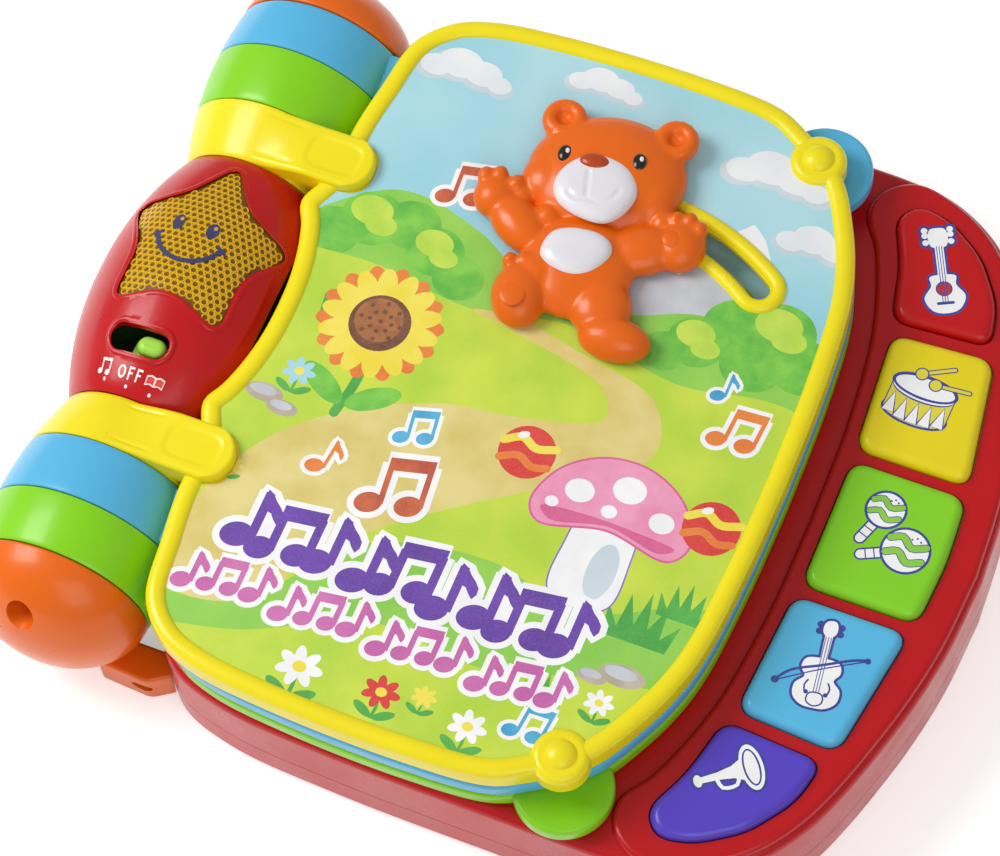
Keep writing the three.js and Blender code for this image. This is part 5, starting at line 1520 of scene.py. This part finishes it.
class SoundBookColours(bpy.types.PropertyGroup):
    """Colours of the mouldings"""

    red: colour_property("Red", "#C20A12")
    yellow: colour_property("Yellow", "#FAE618")
    blue: colour_property("Blue", "#58B8E4")
    green: colour_property("Green", "#88D618")
    orange: colour_property("Orange", "#EE6A0C")
    purple: colour_property("Purple", "#5A44C8")
    white: colour_property("White", "#EAE7EC")
    lime: colour_property("Lime", "#A5E04A")


class SoundBookSizes(bpy.types.PropertyGroup):
    """Sizes of the pieces"""

    rim_height: bpy.props.FloatProperty(name="Rim height", description="Height of the cover's bead",
                                        default=0.0022, min=0.001, max=0.003, subtype="DISTANCE", unit="LENGTH")
    key_rise: bpy.props.FloatProperty(name="Key rise", description="Height of the keys over the panel",
                                      default=0.0028, min=0.001, max=0.003, subtype="DISTANCE", unit="LENGTH")
    cell_pitch: bpy.props.FloatProperty(name="Cell pitch", description="Distance between the star's cells",
                                        default=0.0023, min=0.002, max=0.008, subtype="DISTANCE", unit="LENGTH")


class SOUNDBOOK_OT_finishes(bpy.types.Operator):
    """Makes the materials of every finish"""

    bl_idname = "soundbook.finishes"
    bl_label = "Finishes"

    def execute(self, context):
        make_finishes(context.scene.sound_book_colours)
        return {"FINISHED"}


class SOUNDBOOK_OT_housing(bpy.types.Operator):
    """Builds the round middle of the spine"""

    bl_idname = "soundbook.housing"
    bl_label = "Spine housing"

    def execute(self, context):
        build_housing()
        return {"FINISHED"}


class SOUNDBOOK_OT_star(bpy.types.Operator):
    """Builds the star window with its cells and its face"""

    bl_idname = "soundbook.star"
    bl_label = "Star window"

    def execute(self, context):
        build_star(context.scene.sound_book_sizes)
        return {"FINISHED"}


class SOUNDBOOK_OT_switch(bpy.types.Operator):
    """Builds the switch knob and prints its marks"""

    bl_idname = "soundbook.switch"
    bl_label = "Mode switch"

    def execute(self, context):
        build_switch()
        return {"FINISHED"}


class SOUNDBOOK_OT_caps(bpy.types.Operator):
    """Builds the two end caps of the spine"""

    bl_idname = "soundbook.caps"
    bl_label = "End caps"

    def execute(self, context):
        build_caps()
        return {"FINISHED"}


class SOUNDBOOK_OT_cover(bpy.types.Operator):
    """Builds the slotted front cover"""

    bl_idname = "soundbook.cover"
    bl_label = "Cover"

    def execute(self, context):
        build_cover(context.scene.sound_book_sizes)
        return {"FINISHED"}


class SOUNDBOOK_OT_pages(bpy.types.Operator):
    """Builds the two thick pages"""

    bl_idname = "soundbook.pages"
    bl_label = "Pages"

    def execute(self, context):
        build_pages()
        return {"FINISHED"}


class SOUNDBOOK_OT_base(bpy.types.Operator):
    """Builds the two shells of the base"""

    bl_idname = "soundbook.base"
    bl_label = "Base"

    def execute(self, context):
        build_base()
        return {"FINISHED"}


class SOUNDBOOK_OT_keys(bpy.types.Operator):
    """Builds the five keys"""

    bl_idname = "soundbook.keys"
    bl_label = "Keys"

    def execute(self, context):
        build_keys(context.scene.sound_book_sizes)
        return {"FINISHED"}


class SOUNDBOOK_OT_bear(bpy.types.Operator):
    """Builds the bear and its face"""

    bl_idname = "soundbook.bear"
    bl_label = "Bear"

    def execute(self, context):
        build_bear()
        return {"FINISHED"}


class SOUNDBOOK_OT_pictograms(bpy.types.Operator):
    """Prints the instruments on the keys"""

    bl_idname = "soundbook.pictograms"
    bl_label = "Pictograms"

    def execute(self, context):
        build_pictograms(context.scene.sound_book_sizes)
        return {"FINISHED"}


class SOUNDBOOK_OT_picture(bpy.types.Operator):
    """Prints the picture of the cover"""

    bl_idname = "soundbook.picture"
    bl_label = "Cover picture"

    def execute(self, context):
        build_picture()
        return {"FINISHED"}


class SOUNDBOOK_OT_page_picture(bpy.types.Operator):
    """Prints the picture of the blue page"""

    bl_idname = "soundbook.page_picture"
    bl_label = "Page picture"

    def execute(self, context):
        build_page_picture()
        return {"FINISHED"}


class SOUNDBOOK_OT_carried(bpy.types.Operator):
    """Gives the solids that stay their finishes"""

    bl_idname = "soundbook.carried"
    bl_label = "Carried solids"

    def execute(self, context):
        dress_carried()
        return {"FINISHED"}


class SOUNDBOOK_OT_stage(bpy.types.Operator):
    """Makes the floor, the lamps and the camera"""

    bl_idname = "soundbook.stage"
    bl_label = "Stage"

    def execute(self, context):
        build_stage()
        return {"FINISHED"}


OPERATORS = [SOUNDBOOK_OT_finishes, SOUNDBOOK_OT_housing, SOUNDBOOK_OT_star,
             SOUNDBOOK_OT_switch, SOUNDBOOK_OT_caps, SOUNDBOOK_OT_cover,
             SOUNDBOOK_OT_pages, SOUNDBOOK_OT_base, SOUNDBOOK_OT_keys,
             SOUNDBOOK_OT_bear, SOUNDBOOK_OT_pictograms, SOUNDBOOK_OT_picture,
             SOUNDBOOK_OT_page_picture, SOUNDBOOK_OT_carried, SOUNDBOOK_OT_stage]


class SOUNDBOOK_PT_panel(bpy.types.Panel):
    """The steps and values of the sound book"""

    bl_idname = "SOUNDBOOK_PT_panel"
    bl_label = "Sound book"
    bl_space_type = "VIEW_3D"
    bl_region_type = "UI"
    bl_category = "Sound book"

    def draw(self, context):
        for values in (context.scene.sound_book_sizes, context.scene.sound_book_colours):
            for name in values.__annotations__:
                self.layout.prop(values, name)
        for one in OPERATORS:
            self.layout.operator(one.bl_idname)


CLASSES = [SoundBookColours, SoundBookSizes, *OPERATORS, SOUNDBOOK_PT_panel]


def register():
    for one in CLASSES:
        bpy.utils.register_class(one)
    bpy.types.Scene.sound_book_colours = bpy.props.PointerProperty(type=SoundBookColours)
    bpy.types.Scene.sound_book_sizes = bpy.props.PointerProperty(type=SoundBookSizes)


def unregister():
    del bpy.types.Scene.sound_book_sizes
    del bpy.types.Scene.sound_book_colours
    for one in reversed(CLASSES):
        bpy.utils.unregister_class(one)


def main():
    register()
    for one in OPERATORS:
        getattr(bpy.ops.soundbook, one.bl_idname.split(".")[1])()


if __name__ == "__main__":
    main()
